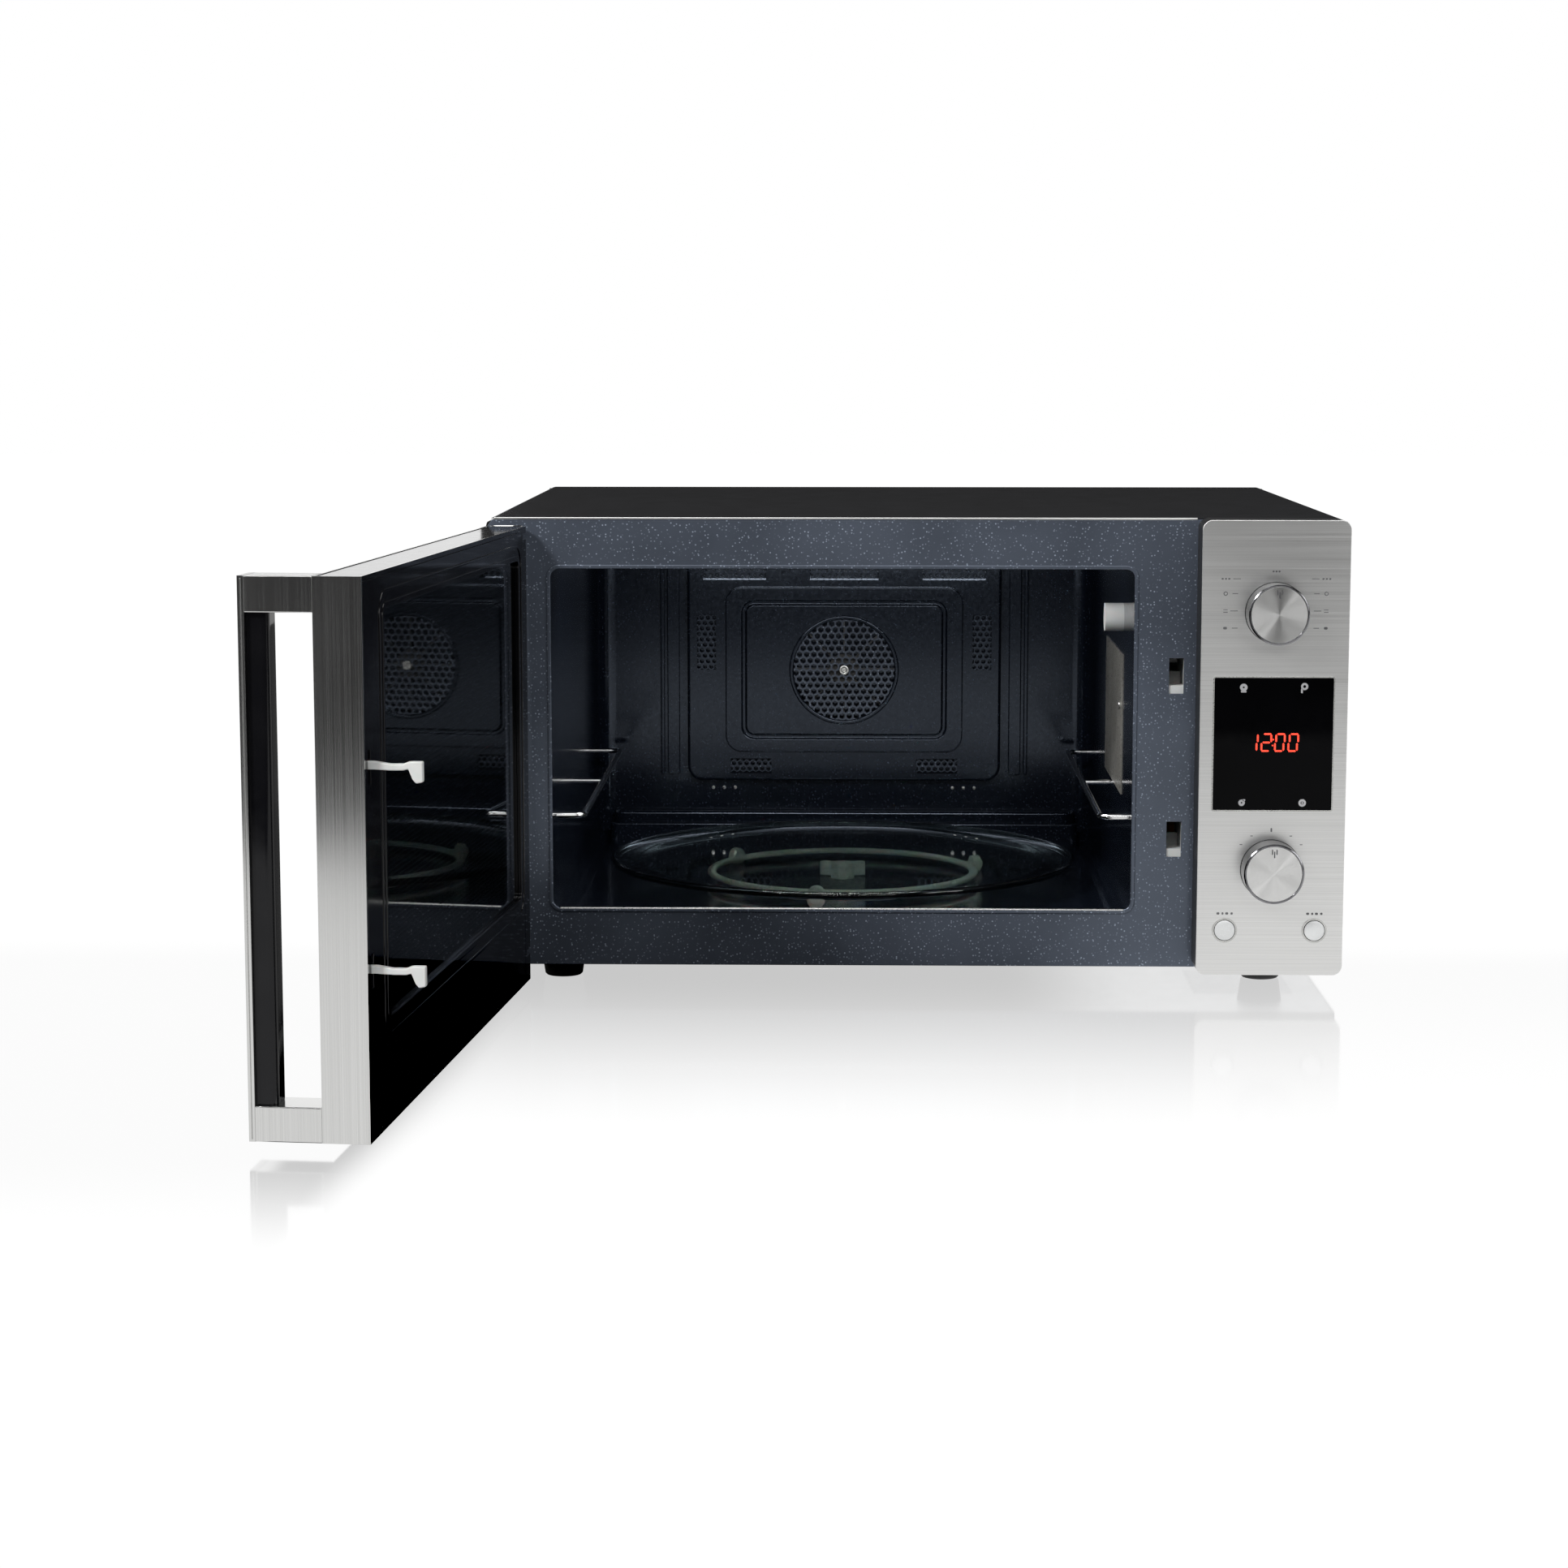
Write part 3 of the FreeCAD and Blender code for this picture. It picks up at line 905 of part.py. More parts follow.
def control_panel():
    wall = dim.PanelWall
    skin = dim.PanelSkin
    display_low = under + dim.DisplayRise
    display_left = panel_x - dim.DisplayWidth / 2
    knobs = [("mode_knob", under + dim.ModeKnobRise), ("dial_knob", under + dim.DialKnobRise)]
    buttons = [("left_button", panel_x - dim.ButtonSpread), ("right_button", panel_x + dim.ButtonSpread)]
    button_z = under + dim.ButtonRise

    def face(sketch):
        rounded_rectangle(sketch, panel_left, under, dim.PanelWidth, dim.CabinetHeight, dim.PanelRound)
        rounded_rectangle(sketch, display_left, display_low, dim.DisplayWidth, dim.DisplayHeight,
                          dim.PanelSkin)
        for label, z in knobs:
            circle(sketch, panel_x, z, dim.KnobStem + dim.KnobGap)
        for label, x in buttons:
            circle(sketch, x, button_z, dim.ButtonRadius + 0.3)

    keep("panel_skin", upright_plate("panel_skin", panel_front, skin, face))

    shell = rounded(box((panel_left, panel_front + skin, under), (half, front, top)), Y, dim.PanelRound)
    space = rounded(box((panel_left + wall, panel_front + skin + wall, under + wall),
                        (half - wall, front + 1, top - wall)), Y, dim.PanelRound)
    holes = [rod("y", (panel_x, panel_front, z), 8, dim.KnobStem + dim.KnobGap) for label, z in knobs]
    holes += [rod("y", (x, panel_front, button_z), 8, dim.ButtonRadius + 0.3) for label, x in buttons]
    seat = box((display_left, panel_front, display_low),
               (display_left + dim.DisplayWidth, panel_front + skin + 1, display_low + dim.DisplayHeight))
    lens = box((display_left + 6, panel_front, display_low + 6),
               (display_left + dim.DisplayWidth - 6, panel_front + 6, display_low + dim.DisplayHeight - 6))
    keep("panel_carrier", cut(shell, space, seat, lens, *holes))

    pane_front = panel_front + skin + 1 - dim.DisplayGlass
    pane = box((display_left + dim.PaneGap, pane_front, display_low + dim.PaneGap),
               (display_left + dim.DisplayWidth - dim.PaneGap, panel_front + skin + 1,
                display_low + dim.DisplayHeight - dim.PaneGap))
    keep("display_window", rounded(pane, Y, dim.PanelSkin))

    board_front = front - dim.BoardBack
    board = box((panel_left + wall + 2, board_front, under + wall + 6),
                (half - wall - 2, board_front + dim.BoardThick, top - wall - 6))
    bores = [rod("y", (panel_x, board_front - 1, z), 5, dim.KnobStem + 1) for label, z in knobs]
    keep("control_board", cut(board, *bores))
    module = box((panel_x - 26, panel_front + skin + 3.4, display_low + 22),
                 (panel_x + 26, board_front, display_low + 60))
    keep("display_module", module)

    encoders = []
    for label, z in knobs:
        case = box((panel_x - 8, board_front - 7, z - 8), (panel_x + 8, board_front, z + 8))
        neck = rod("y", (panel_x, board_front - 10, z), 4, dim.KnobStem + 1.6)
        bore = rod("y", (panel_x, board_front - 11, z), 14, dim.KnobStem + dim.RunningGap)
        encoders.append(cut(fuse(case, neck), bore))
        depth = dim.KnobDepth
        cap = turned(label + "_cap", [(0, 0), (dim.KnobRadius - 1.5, 0), (dim.KnobRadius - 0.6, 0.6),
                                      (dim.KnobRadius, depth), (dim.KnobRadius + 0.4, depth),
                                      (dim.KnobRadius + 0.4, depth + 1.2), (0, depth + 1.2)], "y",
                     (panel_x, panel_front - depth - 1.2 - dim.KnobGap, z))
        stem = rod("y", (panel_x, panel_front - 4, z), board_front - 3 - panel_front + 4, dim.KnobStem)
        groove = box((panel_x - 0.6, panel_front - depth - 3, z + dim.KnobRadius - 8),
                     (panel_x + 0.6, panel_front - depth - 1.2, z + dim.KnobRadius - 2))
        keep(label, cut(fuse(cap, stem), groove))

    caps = []
    for label, x in buttons:
        cap = turned(label + "_cap", [(0, 0), (dim.ButtonRadius - 1, 0), (dim.ButtonRadius - 0.2, 0.6),
                                      (dim.ButtonRadius, 4), (0, 4)], "y",
                     (x, panel_front - dim.ButtonProud, button_z))
        flange = rod("y", (x, panel_front + skin + wall + 0.1, button_z), 1, dim.ButtonRadius + 1.5)
        stem = rod("y", (x, panel_front + 1, button_z), board_front - 4.5 - panel_front - dim.ButtonTravel,
                   2.5)
        keep(label, fuse(cap, flange, stem))
        caps.append(box((x - 3, board_front - 3.4, button_z - 3), (x + 3, board_front, button_z + 3)))
    keep("key_switches", together(caps))
    keep("rotary_encoders", together(encoders))


cabinet()
cavity()
convection()
turntable()
side_guides()
power_unit()
hinges()
door()
latch_board()
control_panel()
doc.recompute()

failed = [thing.Label for thing in doc.Objects if {"Invalid", "Error"} & set(thing.State)]
for piece in pieces:
    shape = piece.Shape
    if shape.isNull() or not shape.isValid() or not shape.Solids:
        failed.append(piece.Label)
if failed:
    raise SystemExit("these objects did not build: " + ", ".join(sorted(set(failed))))

os.makedirs("parts", exist_ok=True)
for piece in pieces:
    piece.Shape.exportStep(os.path.join("parts", piece.Label + ".step"))
    print(f"{piece.Label:22s} solids {len(piece.Shape.Solids)}  volume {piece.Shape.Volume:12.1f}")
print(len(pieces), "pieces")
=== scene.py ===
# %% [markdown]
# # A convection microwave oven, door open
# The engineering model gives every part its place and its joints. This lesson dresses that model: it
# keeps the parts whose shape is already right, gives them a finish, and models the visible ones again
# with rounded edges, pressed ribs, real perforations and printed marks.

# %% Load the frame
import json
import math

import bmesh
import bpy
from mathutils import Matrix, Vector


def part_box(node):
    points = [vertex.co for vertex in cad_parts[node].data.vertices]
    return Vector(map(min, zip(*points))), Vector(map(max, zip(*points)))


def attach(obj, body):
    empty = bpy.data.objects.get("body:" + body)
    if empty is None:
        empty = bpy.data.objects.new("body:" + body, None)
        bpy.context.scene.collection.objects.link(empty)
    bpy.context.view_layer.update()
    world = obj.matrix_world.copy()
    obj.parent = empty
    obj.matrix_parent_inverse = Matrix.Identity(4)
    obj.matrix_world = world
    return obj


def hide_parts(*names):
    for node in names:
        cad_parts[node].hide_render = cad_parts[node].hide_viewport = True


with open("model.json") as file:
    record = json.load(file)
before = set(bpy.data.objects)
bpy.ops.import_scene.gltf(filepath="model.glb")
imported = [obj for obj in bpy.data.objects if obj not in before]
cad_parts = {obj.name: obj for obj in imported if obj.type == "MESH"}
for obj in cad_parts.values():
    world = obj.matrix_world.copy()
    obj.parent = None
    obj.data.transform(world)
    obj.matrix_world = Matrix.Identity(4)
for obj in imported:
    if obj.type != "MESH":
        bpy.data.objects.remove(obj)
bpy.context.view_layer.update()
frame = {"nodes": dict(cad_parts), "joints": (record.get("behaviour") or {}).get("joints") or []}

MM = 0.001

# %% [markdown]
# The places that many pieces share come from the frame: the front frame's face, the cavity, the
# control panel and the hinge. A door piece is modelled on the closed door, where all its faces are
# square to the axes, and then swings open round the hinge by the joint's own closing angle.

# %% Shared places
hinge = next(joint for joint in frame["joints"] if joint["name"] == "door_hinge")
hinge_point = Vector(hinge["pos_m"])
closing_angle = math.radians(hinge["range_deg"][1])
to_closed = (Matrix.Translation(hinge_point) @ Matrix.Rotation(closing_angle, 4, "Z")
             @ Matrix.Translation(-hinge_point))
to_open = to_closed.inverted()


def closed_box(node):
    """Lowest and highest corner of a door node with the door shut."""
    corners = [to_closed @ vertex.co for vertex in frame["nodes"][node].data.vertices]
    low = Vector([min(corner[axis] for corner in corners) for axis in range(3)])
    high = Vector([max(corner[axis] for corner in corners) for axis in range(3)])
    return low, high


frame_low, frame_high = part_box("front_frame")
cavity_low, cavity_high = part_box("cavity_liner")
panel_low, panel_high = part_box("panel_skin")
front_y = frame_low.y
print("frame front at y =", round(front_y, 4), "door closes by", hinge["range_deg"][1], "degrees")

# %% [markdown]
# ## The camera
# The view is from the front, a little above the oven and slightly left of its middle, with a long
# lens from two metres, so that the cabinet keeps almost parallel edges while the open door, which is
# nearer, looms. The lens is square-on: it has no shift and no depth of field.

# %% Camera
CAMERA_DISTANCE = 2.0152
CAMERA_HEIGHT = 0.4039
CAMERA_SIDE = -0.0356
CAMERA_DOWN = 7.78
CAMERA_LEFT = 1.27
LENS, SENSOR = 75.13, 36.0
bpy.ops.object.select_all(action="DESELECT")
bpy.ops.object.camera_add(location=(CAMERA_SIDE, front_y - CAMERA_DISTANCE, CAMERA_HEIGHT),
                          rotation=(math.radians(90 - CAMERA_DOWN), 0, math.radians(CAMERA_LEFT)))
camera = bpy.context.object
camera.name = "camera"
camera.data.lens = LENS
camera.data.sensor_width = SENSOR
camera.data.clip_start = 0.05
bpy.context.scene.camera = camera
bpy.context.scene.view_settings.view_transform = "Standard"
print("camera", tuple(round(value, 3) for value in camera.location))

# %% [markdown]
# ## Working by hand, in code
# Every new piece is made the way a person works in the viewport: a primitive is added at its size and
# place, its faces or edges are picked, and extrude, inset and bevel shape it. These helpers pick by
# place or by normal, because a script has no mouse.

# %% Helpers for modelling
def deselect():
    bpy.ops.object.select_all(action="DESELECT")


def select_only(*pieces):
    deselect()
    for piece in pieces:
        piece.select_set(True)
    bpy.context.view_layer.objects.active = pieces[0]


def settle(piece):
    """Puts the piece's place into its mesh and leaves the object at the origin."""
    select_only(piece)
    bpy.ops.object.transform_apply(location=True, rotation=True, scale=True)
    return piece


def named(name):
    piece = bpy.context.object
    piece.name = piece.data.name = name
    return settle(piece)


def block(name, low, high):
    low, high = Vector(low), Vector(high)
    deselect()
    bpy.ops.mesh.primitive_cube_add(size=1, location=(low + high) / 2, scale=high - low)
    return named(name)


TURNS = {"x": (0, math.pi / 2, 0), "y": (-math.pi / 2, 0, 0), "z": (0, 0, 0)}


def disc(name, axis, start, length, radius, sides=64):
    """A cylinder that starts at a point and runs along +x, +y or +z."""
    step = Vector([float(axis == letter) for letter in "xyz"])
    deselect()
    middle = Vector(start) + step * length / 2
    bpy.ops.mesh.primitive_cylinder_add(vertices=sides, radius=radius, depth=length,
                                        rotation=TURNS[axis], location=middle)
    return named(name)


def enter(piece, everything=False):
    """Edit mode, with nothing or everything selected."""
    select_only(piece)
    bpy.ops.object.mode_set(mode="EDIT")
    bpy.ops.mesh.select_all(action="SELECT" if everything else "DESELECT")


def leave():
    bpy.ops.object.mode_set(mode="OBJECT")


def pick_faces(piece, rule):
    """In edit mode: selects the faces whose centre and normal the rule accepts."""
    bpy.ops.mesh.select_mode(type="FACE")
    shape = bmesh.from_edit_mesh(piece.data)
    for face in shape.faces:
        face.select_set(bool(rule(face.calc_center_median(), face.normal)))
    bmesh.update_edit_mesh(piece.data)


def front_face(centre, normal):
    """The rule for a face that looks to the front."""
    return normal.y < -0.99


def inset(thickness, depth=0.0):
    """In edit mode: insets the picked faces; both numbers are in millimetres."""
    bpy.ops.mesh.inset(thickness=thickness * MM, depth=depth * MM)


def pick_edges(piece, rule):
    """In edit mode: selects the edges whose middle and direction the rule accepts."""
    bpy.ops.mesh.select_mode(type="EDGE")
    shape = bmesh.from_edit_mesh(piece.data)
    for edge in shape.edges:
        start, end = (vertex.co for vertex in edge.verts)
        edge.select_set(bool(rule((start + end) / 2, (end - start).normalized())))
    bmesh.update_edit_mesh(piece.data)


def round_edges(piece, rule, radius, segments=8):
    """Rounds chosen edges of a block, such as the four corners of a plate."""
    enter(piece)
    pick_edges(piece, rule)
    bpy.ops.mesh.bevel(offset=radius, segments=segments, affect="EDGES")
    leave()
    return piece


def plate(name, low, high, axis, radius, segments=8):
    """A block whose corner edges along one axis are rounded."""
    along = "xyz".index(axis)
    return round_edges(block(name, low, high), lambda middle, way: abs(way[along]) > 0.99, radius,
                       segments)


def modified(piece, kind, **settings):
    """Adds a modifier, sets it up and applies it."""
    modifier = piece.modifiers.new(kind.lower(), kind)
    for key, value in settings.items():
        setattr(modifier, key, value)
    select_only(piece)
    bpy.ops.object.modifier_apply(modifier=modifier.name)
    return piece


def smooth(piece, angle=35):
    """Smooth shading that stays flat across big faces and sharp at corners."""
    select_only(piece)
    bpy.ops.object.shade_smooth_by_angle(angle=math.radians(angle))
    return modified(piece, "WEIGHTED_NORMAL", keep_sharp=True)


def soften(piece, width, segments=2, angle=30):
    """A small round on every sharp edge, which is what catches the light."""
    return smooth(modified(piece, "BEVEL", width=width, segments=segments, limit_method="ANGLE",
                           angle_limit=math.radians(angle)))


def joined(name, pieces):
    """Several meshes as one piece."""
    select_only(*pieces)
    if len(pieces) > 1:
        bpy.ops.object.join()
    return named(name)


def cut_away(piece, *tools):
    """Takes the tools' volume out of the piece, then removes the tools."""
    tool = joined("tool", list(tools))
    modified(piece, "BOOLEAN", operation="DIFFERENCE", object=tool)
    bpy.data.objects.remove(tool, do_unlink=True)
    return piece


def outward(piece):
    """Merges doubles and turns every face outwards."""
    enter(piece, everything=True)
    bpy.ops.mesh.remove_doubles(threshold=1e-6)
    bpy.ops.mesh.normals_make_consistent(inside=False)
    leave()
    return piece


def swing_open(piece):
    """Takes a piece modelled on the closed door to where the door stands open."""
    piece.matrix_world = to_open @ piece.matrix_world
    return settle(piece)


def copy_of(piece, name, offset=(0, 0, 0)):
    twin = piece.copy()
    twin.data = piece.data.copy()
    bpy.context.scene.collection.objects.link(twin)
    twin.name = twin.data.name = name
    twin.location = Vector(offset)
    return settle(twin)


print("helpers ready")

# %% [markdown]
# ## Finishes
# A finish is a node tree on the Principled shader. Each has three layers of detail: a colour that
# drifts a little over the surface, a roughness that isn't even, and a fine bump. All of them read
# object coordinates, which are metres here, so that a grain keeps its real size on every part.

# %% Helpers for finishes
def new_finish(name, colour, roughness, metallic=0.0, **sockets):
    """A material with a Principled shader whose uniform numbers sit on its sockets."""
    material = bpy.data.materials.new(name)
    material.use_nodes = True
    shader = material.node_tree.nodes["Principled BSDF"]
    shader.inputs["Base Color"].default_value = (*colour, 1)
    shader.inputs["Roughness"].default_value = roughness
    shader.inputs["Metallic"].default_value = metallic
    for socket, value in sockets.items():
        shader.inputs[socket.replace("_", " ")].default_value = value
    return material


def node(material, kind, **settings):
    made = material.node_tree.nodes.new(kind)
    for key, value in settings.items():
        if key in made.inputs:
            made.inputs[key].default_value = value
        else:
            setattr(made, key, value)
    return made


def link(material, start, end):
    material.node_tree.links.new(start, end)


def shader_of(material):
    return material.node_tree.nodes["Principled BSDF"]


def grain(material, stretch, detail=4.0):
    """Noise in metres; stretch has a small number along the grain and a large one across it."""
    place = node(material, "ShaderNodeTexCoord")
    mapping = node(material, "ShaderNodeMapping", Scale=stretch)
    noise = node(material, "ShaderNodeTexNoise", Scale=1.0, Detail=detail)
    link(material, place.outputs["Object"], mapping.inputs["Vector"])
    link(material, mapping.outputs["Vector"], noise.inputs["Vector"])
    return noise.outputs["Fac"]


def mapped(material, source, start, end, low, high, **settings):
    """A number that runs from low to high while its source goes from start to end."""
    spread = node(material, "ShaderNodeMapRange", **settings)
    link(material, source, spread.inputs["Value"])
    for socket, value in zip(("From Min", "From Max", "To Min", "To Max"), (start, end, low, high)):
        spread.inputs[socket].default_value = value
    return spread.outputs["Result"]


def between(material, factor, low, high):
    """A number from low to high over the middle half of a noise, where most of its values are."""
    return mapped(material, factor, 0.25, 0.75, low, high)


def combined(material, operation, first, second):
    """Two numbers, each an output or a plain value, put through one Math node."""
    made = node(material, "ShaderNodeMath", operation=operation)
    for socket, value in zip(made.inputs, (first, second)):
        if isinstance(value, float):
            socket.default_value = value
        else:
            link(material, value, socket)
    return made.outputs["Value"]


def colours(material, factor, *stops):
    """A colour ramp: each stop is (position, (r, g, b))."""
    ramp = node(material, "ShaderNodeValToRGB")
    while len(ramp.color_ramp.elements) < len(stops):
        ramp.color_ramp.elements.new(0.5)
    for element, (position, colour) in zip(ramp.color_ramp.elements, stops):
        element.position = position
        element.color = (*colour, 1)
    link(material, factor, ramp.inputs["Fac"])
    return ramp.outputs["Color"]


def bumped(material, height, distance, strength=1.0):
    bump = node(material, "ShaderNodeBump", Distance=distance, Strength=strength)
    link(material, height, bump.inputs["Height"])
    link(material, bump.outputs["Normal"], shader_of(material).inputs["Normal"])


def coated(name, dark, light, rough, metallic=0.0, bump=0.00001, stretch=(60, 60, 60),
           fine=(900, 900, 900), **sockets):
    """The common three layers: colour drift, uneven roughness, fine bump."""
    material = new_finish(name, light, sum(rough) / 2, metallic, **sockets)
    shader = shader_of(material)
    drift = grain(material, stretch)
    link(material, colours(material, drift, (0.3, dark), (0.7, light)), shader.inputs["Base Color"])
    close = grain(material, fine, detail=2.0)
    link(material, between(material, close, *rough), shader.inputs["Roughness"])
    bumped(material, close, bump)
    return material


print("finish helpers ready")

# %% [markdown]
# Brushed stainless steel is ground with a belt, so it has long hair-lines in one direction. A noise
# that is stretched a thousand times gives them. They change the roughness and stand a few
# micrometres proud, and that is what draws a highlight out across the lines.

# %% Brushed steel
def brushed_steel(name, stretch, rough, shade):
    steel = new_finish(name, (shade, shade, shade * 0.985), sum(rough) / 2, 1.0)
    shader = shader_of(steel)
    lines = grain(steel, stretch, detail=6.0)
    clouds = grain(steel, (9, 9, 9), detail=2.0)
    tint = colours(steel, lines, (0.3, (shade * 0.90, shade * 0.90, shade * 0.885)),
                   (0.7, (shade * 1.08, shade * 1.08, shade * 1.065)))
    link(steel, tint, shader.inputs["Base Color"])
    both = combined(steel, "ADD", between(steel, lines, *rough), between(steel, clouds, -0.02, 0.03))
    link(steel, both, shader.inputs["Roughness"])
    bumped(steel, lines, 0.00002, 0.3)
    return steel


# Painted light: the panel's steel, brushed across, is given a lighter colour (0.80) than the door's
# upright steel (0.66) so that the panel reads brighter, though both are the same stainless.
lit_steel_across = brushed_steel("brushed_steel_across", (6, 900, 3200), (0.28, 0.36), 0.80)
steel_upright = brushed_steel("brushed_steel_upright", (2600, 2600, 5), (0.12, 0.19), 0.66)
print("brushed steel, two directions")

# %% [markdown]
# Spun metal is turned on a lathe: its fine grooves are circles, so a light is drawn out into two
# bright wedges that meet at the centre. The shader's anisotropy does that, with a tangent that runs
# round the knob's axis, and a ring-shaped wave adds the grooves that the eye can just see.

# %% Spun metal
def spun_metal(name, centre):
    spun = new_finish(name, (0.76, 0.76, 0.75), 0.26, 1.0, Anisotropic=0.93)
    shader = shader_of(spun)
    place = node(spun, "ShaderNodeTexCoord")
    mapping = node(spun, "ShaderNodeMapping", Location=-Vector(centre))
    wave = node(spun, "ShaderNodeTexWave", wave_type="RINGS", rings_direction="Y", Scale=1400.0,
                Distortion=0.6, Detail=2.0)
    link(spun, place.outputs["Object"], mapping.inputs["Vector"])
    link(spun, mapping.outputs["Vector"], wave.inputs["Vector"])
    link(spun, colours(spun, wave.outputs["Fac"], (0.0, (0.68, 0.68, 0.67)), (1.0, (0.80, 0.80, 0.79))),
         shader.inputs["Base Color"])
    link(spun, between(spun, wave.outputs["Fac"], 0.22, 0.30), shader.inputs["Roughness"])
    tangent = node(spun, "ShaderNodeTangent", direction_type="RADIAL", axis="Y")
    link(spun, tangent.outputs["Tangent"], shader.inputs["Tangent"])
    bumped(spun, wave.outputs["Fac"], 0.00001, 0.4)
    return spun


# %% [markdown]
# The cavity, the front frame and the convection baffle are steel fired with a dark blue-grey enamel.
# Light flakes are scattered in it, so a cell pattern is thresholded to tiny dots of several strengths
# and laid over the base colour. Enamel is glass, so it gets a clear coat over a slightly wavy base.

# %% Speckled enamel
FLAKE = 0.8 * MM


def speckled_enamel(name, base, flakes):
    enamel = new_finish(name, base, 0.22, Coat_Weight=0.15, Coat_Roughness=0.10,
                        Specular_Tint=(0.66, 0.79, 1.0, 1.0))
    shader = shader_of(enamel)
    place = node(enamel, "ShaderNodeTexCoord")
    cells = node(enamel, "ShaderNodeTexVoronoi", Scale=1.0 / (2.4 * FLAKE), Randomness=1.0)
    link(enamel, place.outputs["Object"], cells.inputs["Vector"])
    dots = mapped(enamel, cells.outputs["Distance"], 0.16, 0.30, 1.0, 0.0)
    which = node(enamel, "ShaderNodeSeparateColor")
    link(enamel, cells.outputs["Color"], which.inputs["Color"])
    some = mapped(enamel, which.outputs["Red"], 0.10, 1.0, 0.0, 1.0)
    amount = combined(enamel, "MULTIPLY", dots, some)
    drift = grain(enamel, (14, 14, 14), detail=3.0)
    ground = colours(enamel, drift, (0.3, tuple(value * 0.82 for value in base)),
                     (0.7, tuple(value * 1.22 for value in base)))
    mixed = node(enamel, "ShaderNodeMix", data_type="RGBA")
    link(enamel, amount, mixed.inputs["Factor"])
    link(enamel, ground, mixed.inputs[6])
    mixed.inputs[7].default_value = (*flakes, 1)
    link(enamel, mixed.outputs[2], shader.inputs["Base Color"])
    ripple = grain(enamel, (420, 420, 420), detail=2.0)
    link(enamel, between(enamel, ripple, 0.11, 0.18), shader.inputs["Roughness"])
    bumped(enamel, ripple, 0.00003, 0.6)
    return enamel


frame_enamel = speckled_enamel("frame_enamel", (0.060, 0.070, 0.090), (0.27, 0.31, 0.38))
# Painted shade: the outlets' and the cavity's copies of this one enamel are darker than the frame's,
# and the cavity's is far darker, so that the deep cavity reads dark.
shaded_outlet_enamel = speckled_enamel("shaded_outlet_enamel", (0.022, 0.027, 0.037), (0.10, 0.12, 0.16))
shaded_cavity_enamel = speckled_enamel("shaded_cavity_enamel", (0.0035, 0.005, 0.009), (0.030, 0.038, 0.056))
print("three enamels")

# %% [markdown]
# The other finishes: satin powder coat on the cover, zinc-plated sheet on the rear and the base,
# gloss and matt mouldings, rubber, chrome wire, mica, glass, and the windings and boards inside.

# %% Paints, sheet and mouldings
cover_paint = coated("cover_paint", (0.014, 0.014, 0.015), (0.020, 0.020, 0.022), (0.18, 0.26),
                     Specular_IOR_Level=0.15)
zinc_sheet = coated("zinc_sheet", (0.46, 0.47, 0.48), (0.60, 0.61, 0.62), (0.32, 0.50), metallic=1.0,
                    bump=0.00002, stretch=(110, 110, 110))
plated_steel = coated("plated_steel", (0.54, 0.54, 0.52), (0.66, 0.66, 0.64), (0.24, 0.34),
                      metallic=1.0, stretch=(200, 200, 200))
chrome_wire = coated("chrome_wire", (0.72, 0.72, 0.72), (0.82, 0.82, 0.82), (0.10, 0.20), metallic=1.0)
motor_steel = coated("motor_steel", (0.38, 0.39, 0.40), (0.48, 0.49, 0.50), (0.30, 0.42), metallic=1.0,
                     bump=0.00002)
heater_steel = coated("heater_steel", (0.14, 0.12, 0.12), (0.26, 0.21, 0.17), (0.38, 0.52),
                      metallic=1.0, bump=0.00003)
gloss_black = coated("gloss_black", (0.003, 0.003, 0.004), (0.006, 0.006, 0.007), (0.06, 0.11),
                     bump=0.000004, stretch=(30, 30, 30), fine=(160, 160, 160), Specular_IOR_Level=0.25)
satin_black = coated("satin_black", (0.015, 0.015, 0.016), (0.023, 0.023, 0.024), (0.38, 0.48),
                     bump=0.00003)
grey_moulding = coated("grey_moulding", (0.55, 0.56, 0.55), (0.64, 0.65, 0.64), (0.36, 0.46),
                       bump=0.00003, Subsurface_Weight=0.08, Subsurface_Scale=0.004)
button_moulding = coated("button_moulding", (0.62, 0.63, 0.63), (0.70, 0.71, 0.71), (0.20, 0.30),
                         Coat_Weight=0.3, Coat_Roughness=0.1)
fan_moulding = coated("fan_moulding", (0.04, 0.04, 0.045), (0.06, 0.06, 0.065), (0.45, 0.58),
                      bump=0.00004)
foot_rubber = coated("foot_rubber", (0.016, 0.016, 0.016), (0.028, 0.028, 0.028), (0.72, 0.90),
                     bump=0.00008)
mica_sheet = coated("mica_sheet", (0.12, 0.115, 0.10), (0.20, 0.195, 0.18), (0.24, 0.40), bump=0.00005,
                    stretch=(70, 70, 70), fine=(380, 380, 380))
copper_coil = coated("copper_coil", (0.36, 0.14, 0.05), (0.55, 0.25, 0.10), (0.22, 0.38), metallic=0.9,
                     bump=0.0001, stretch=(20, 1500, 20), fine=(20, 1500, 20))
laminations = coated("laminations", (0.10, 0.10, 0.11), (0.24, 0.24, 0.25), (0.4, 0.6), metallic=0.8,
                     bump=0.00006, stretch=(20, 2200, 20), fine=(20, 2200, 20))
fin_aluminium = coated("fin_aluminium", (0.60, 0.60, 0.61), (0.72, 0.72, 0.73), (0.28, 0.44),
                       metallic=1.0, bump=0.00002)
board_green = coated("board_green", (0.02, 0.11, 0.045), (0.045, 0.18, 0.08), (0.3, 0.42), bump=0.00002,
                     stretch=(260, 260, 260), Coat_Weight=0.4)
tray_plastic = coated("tray_plastic", (0.66, 0.66, 0.63), (0.76, 0.76, 0.73), (0.26, 0.38),
                      bump=0.00002, Subsurface_Weight=0.15, Subsurface_Scale=0.004)
print("mouldings, sheet and paint ready")

# %% [markdown]
# Glass comes in three kinds. The tray is pressed soda glass with a green tint, which is strongest at
# the rim where light travels a long way inside it. The panes of the door are tinted, and the
# display's pane is so dark that it reads as black until a light stands behind it.

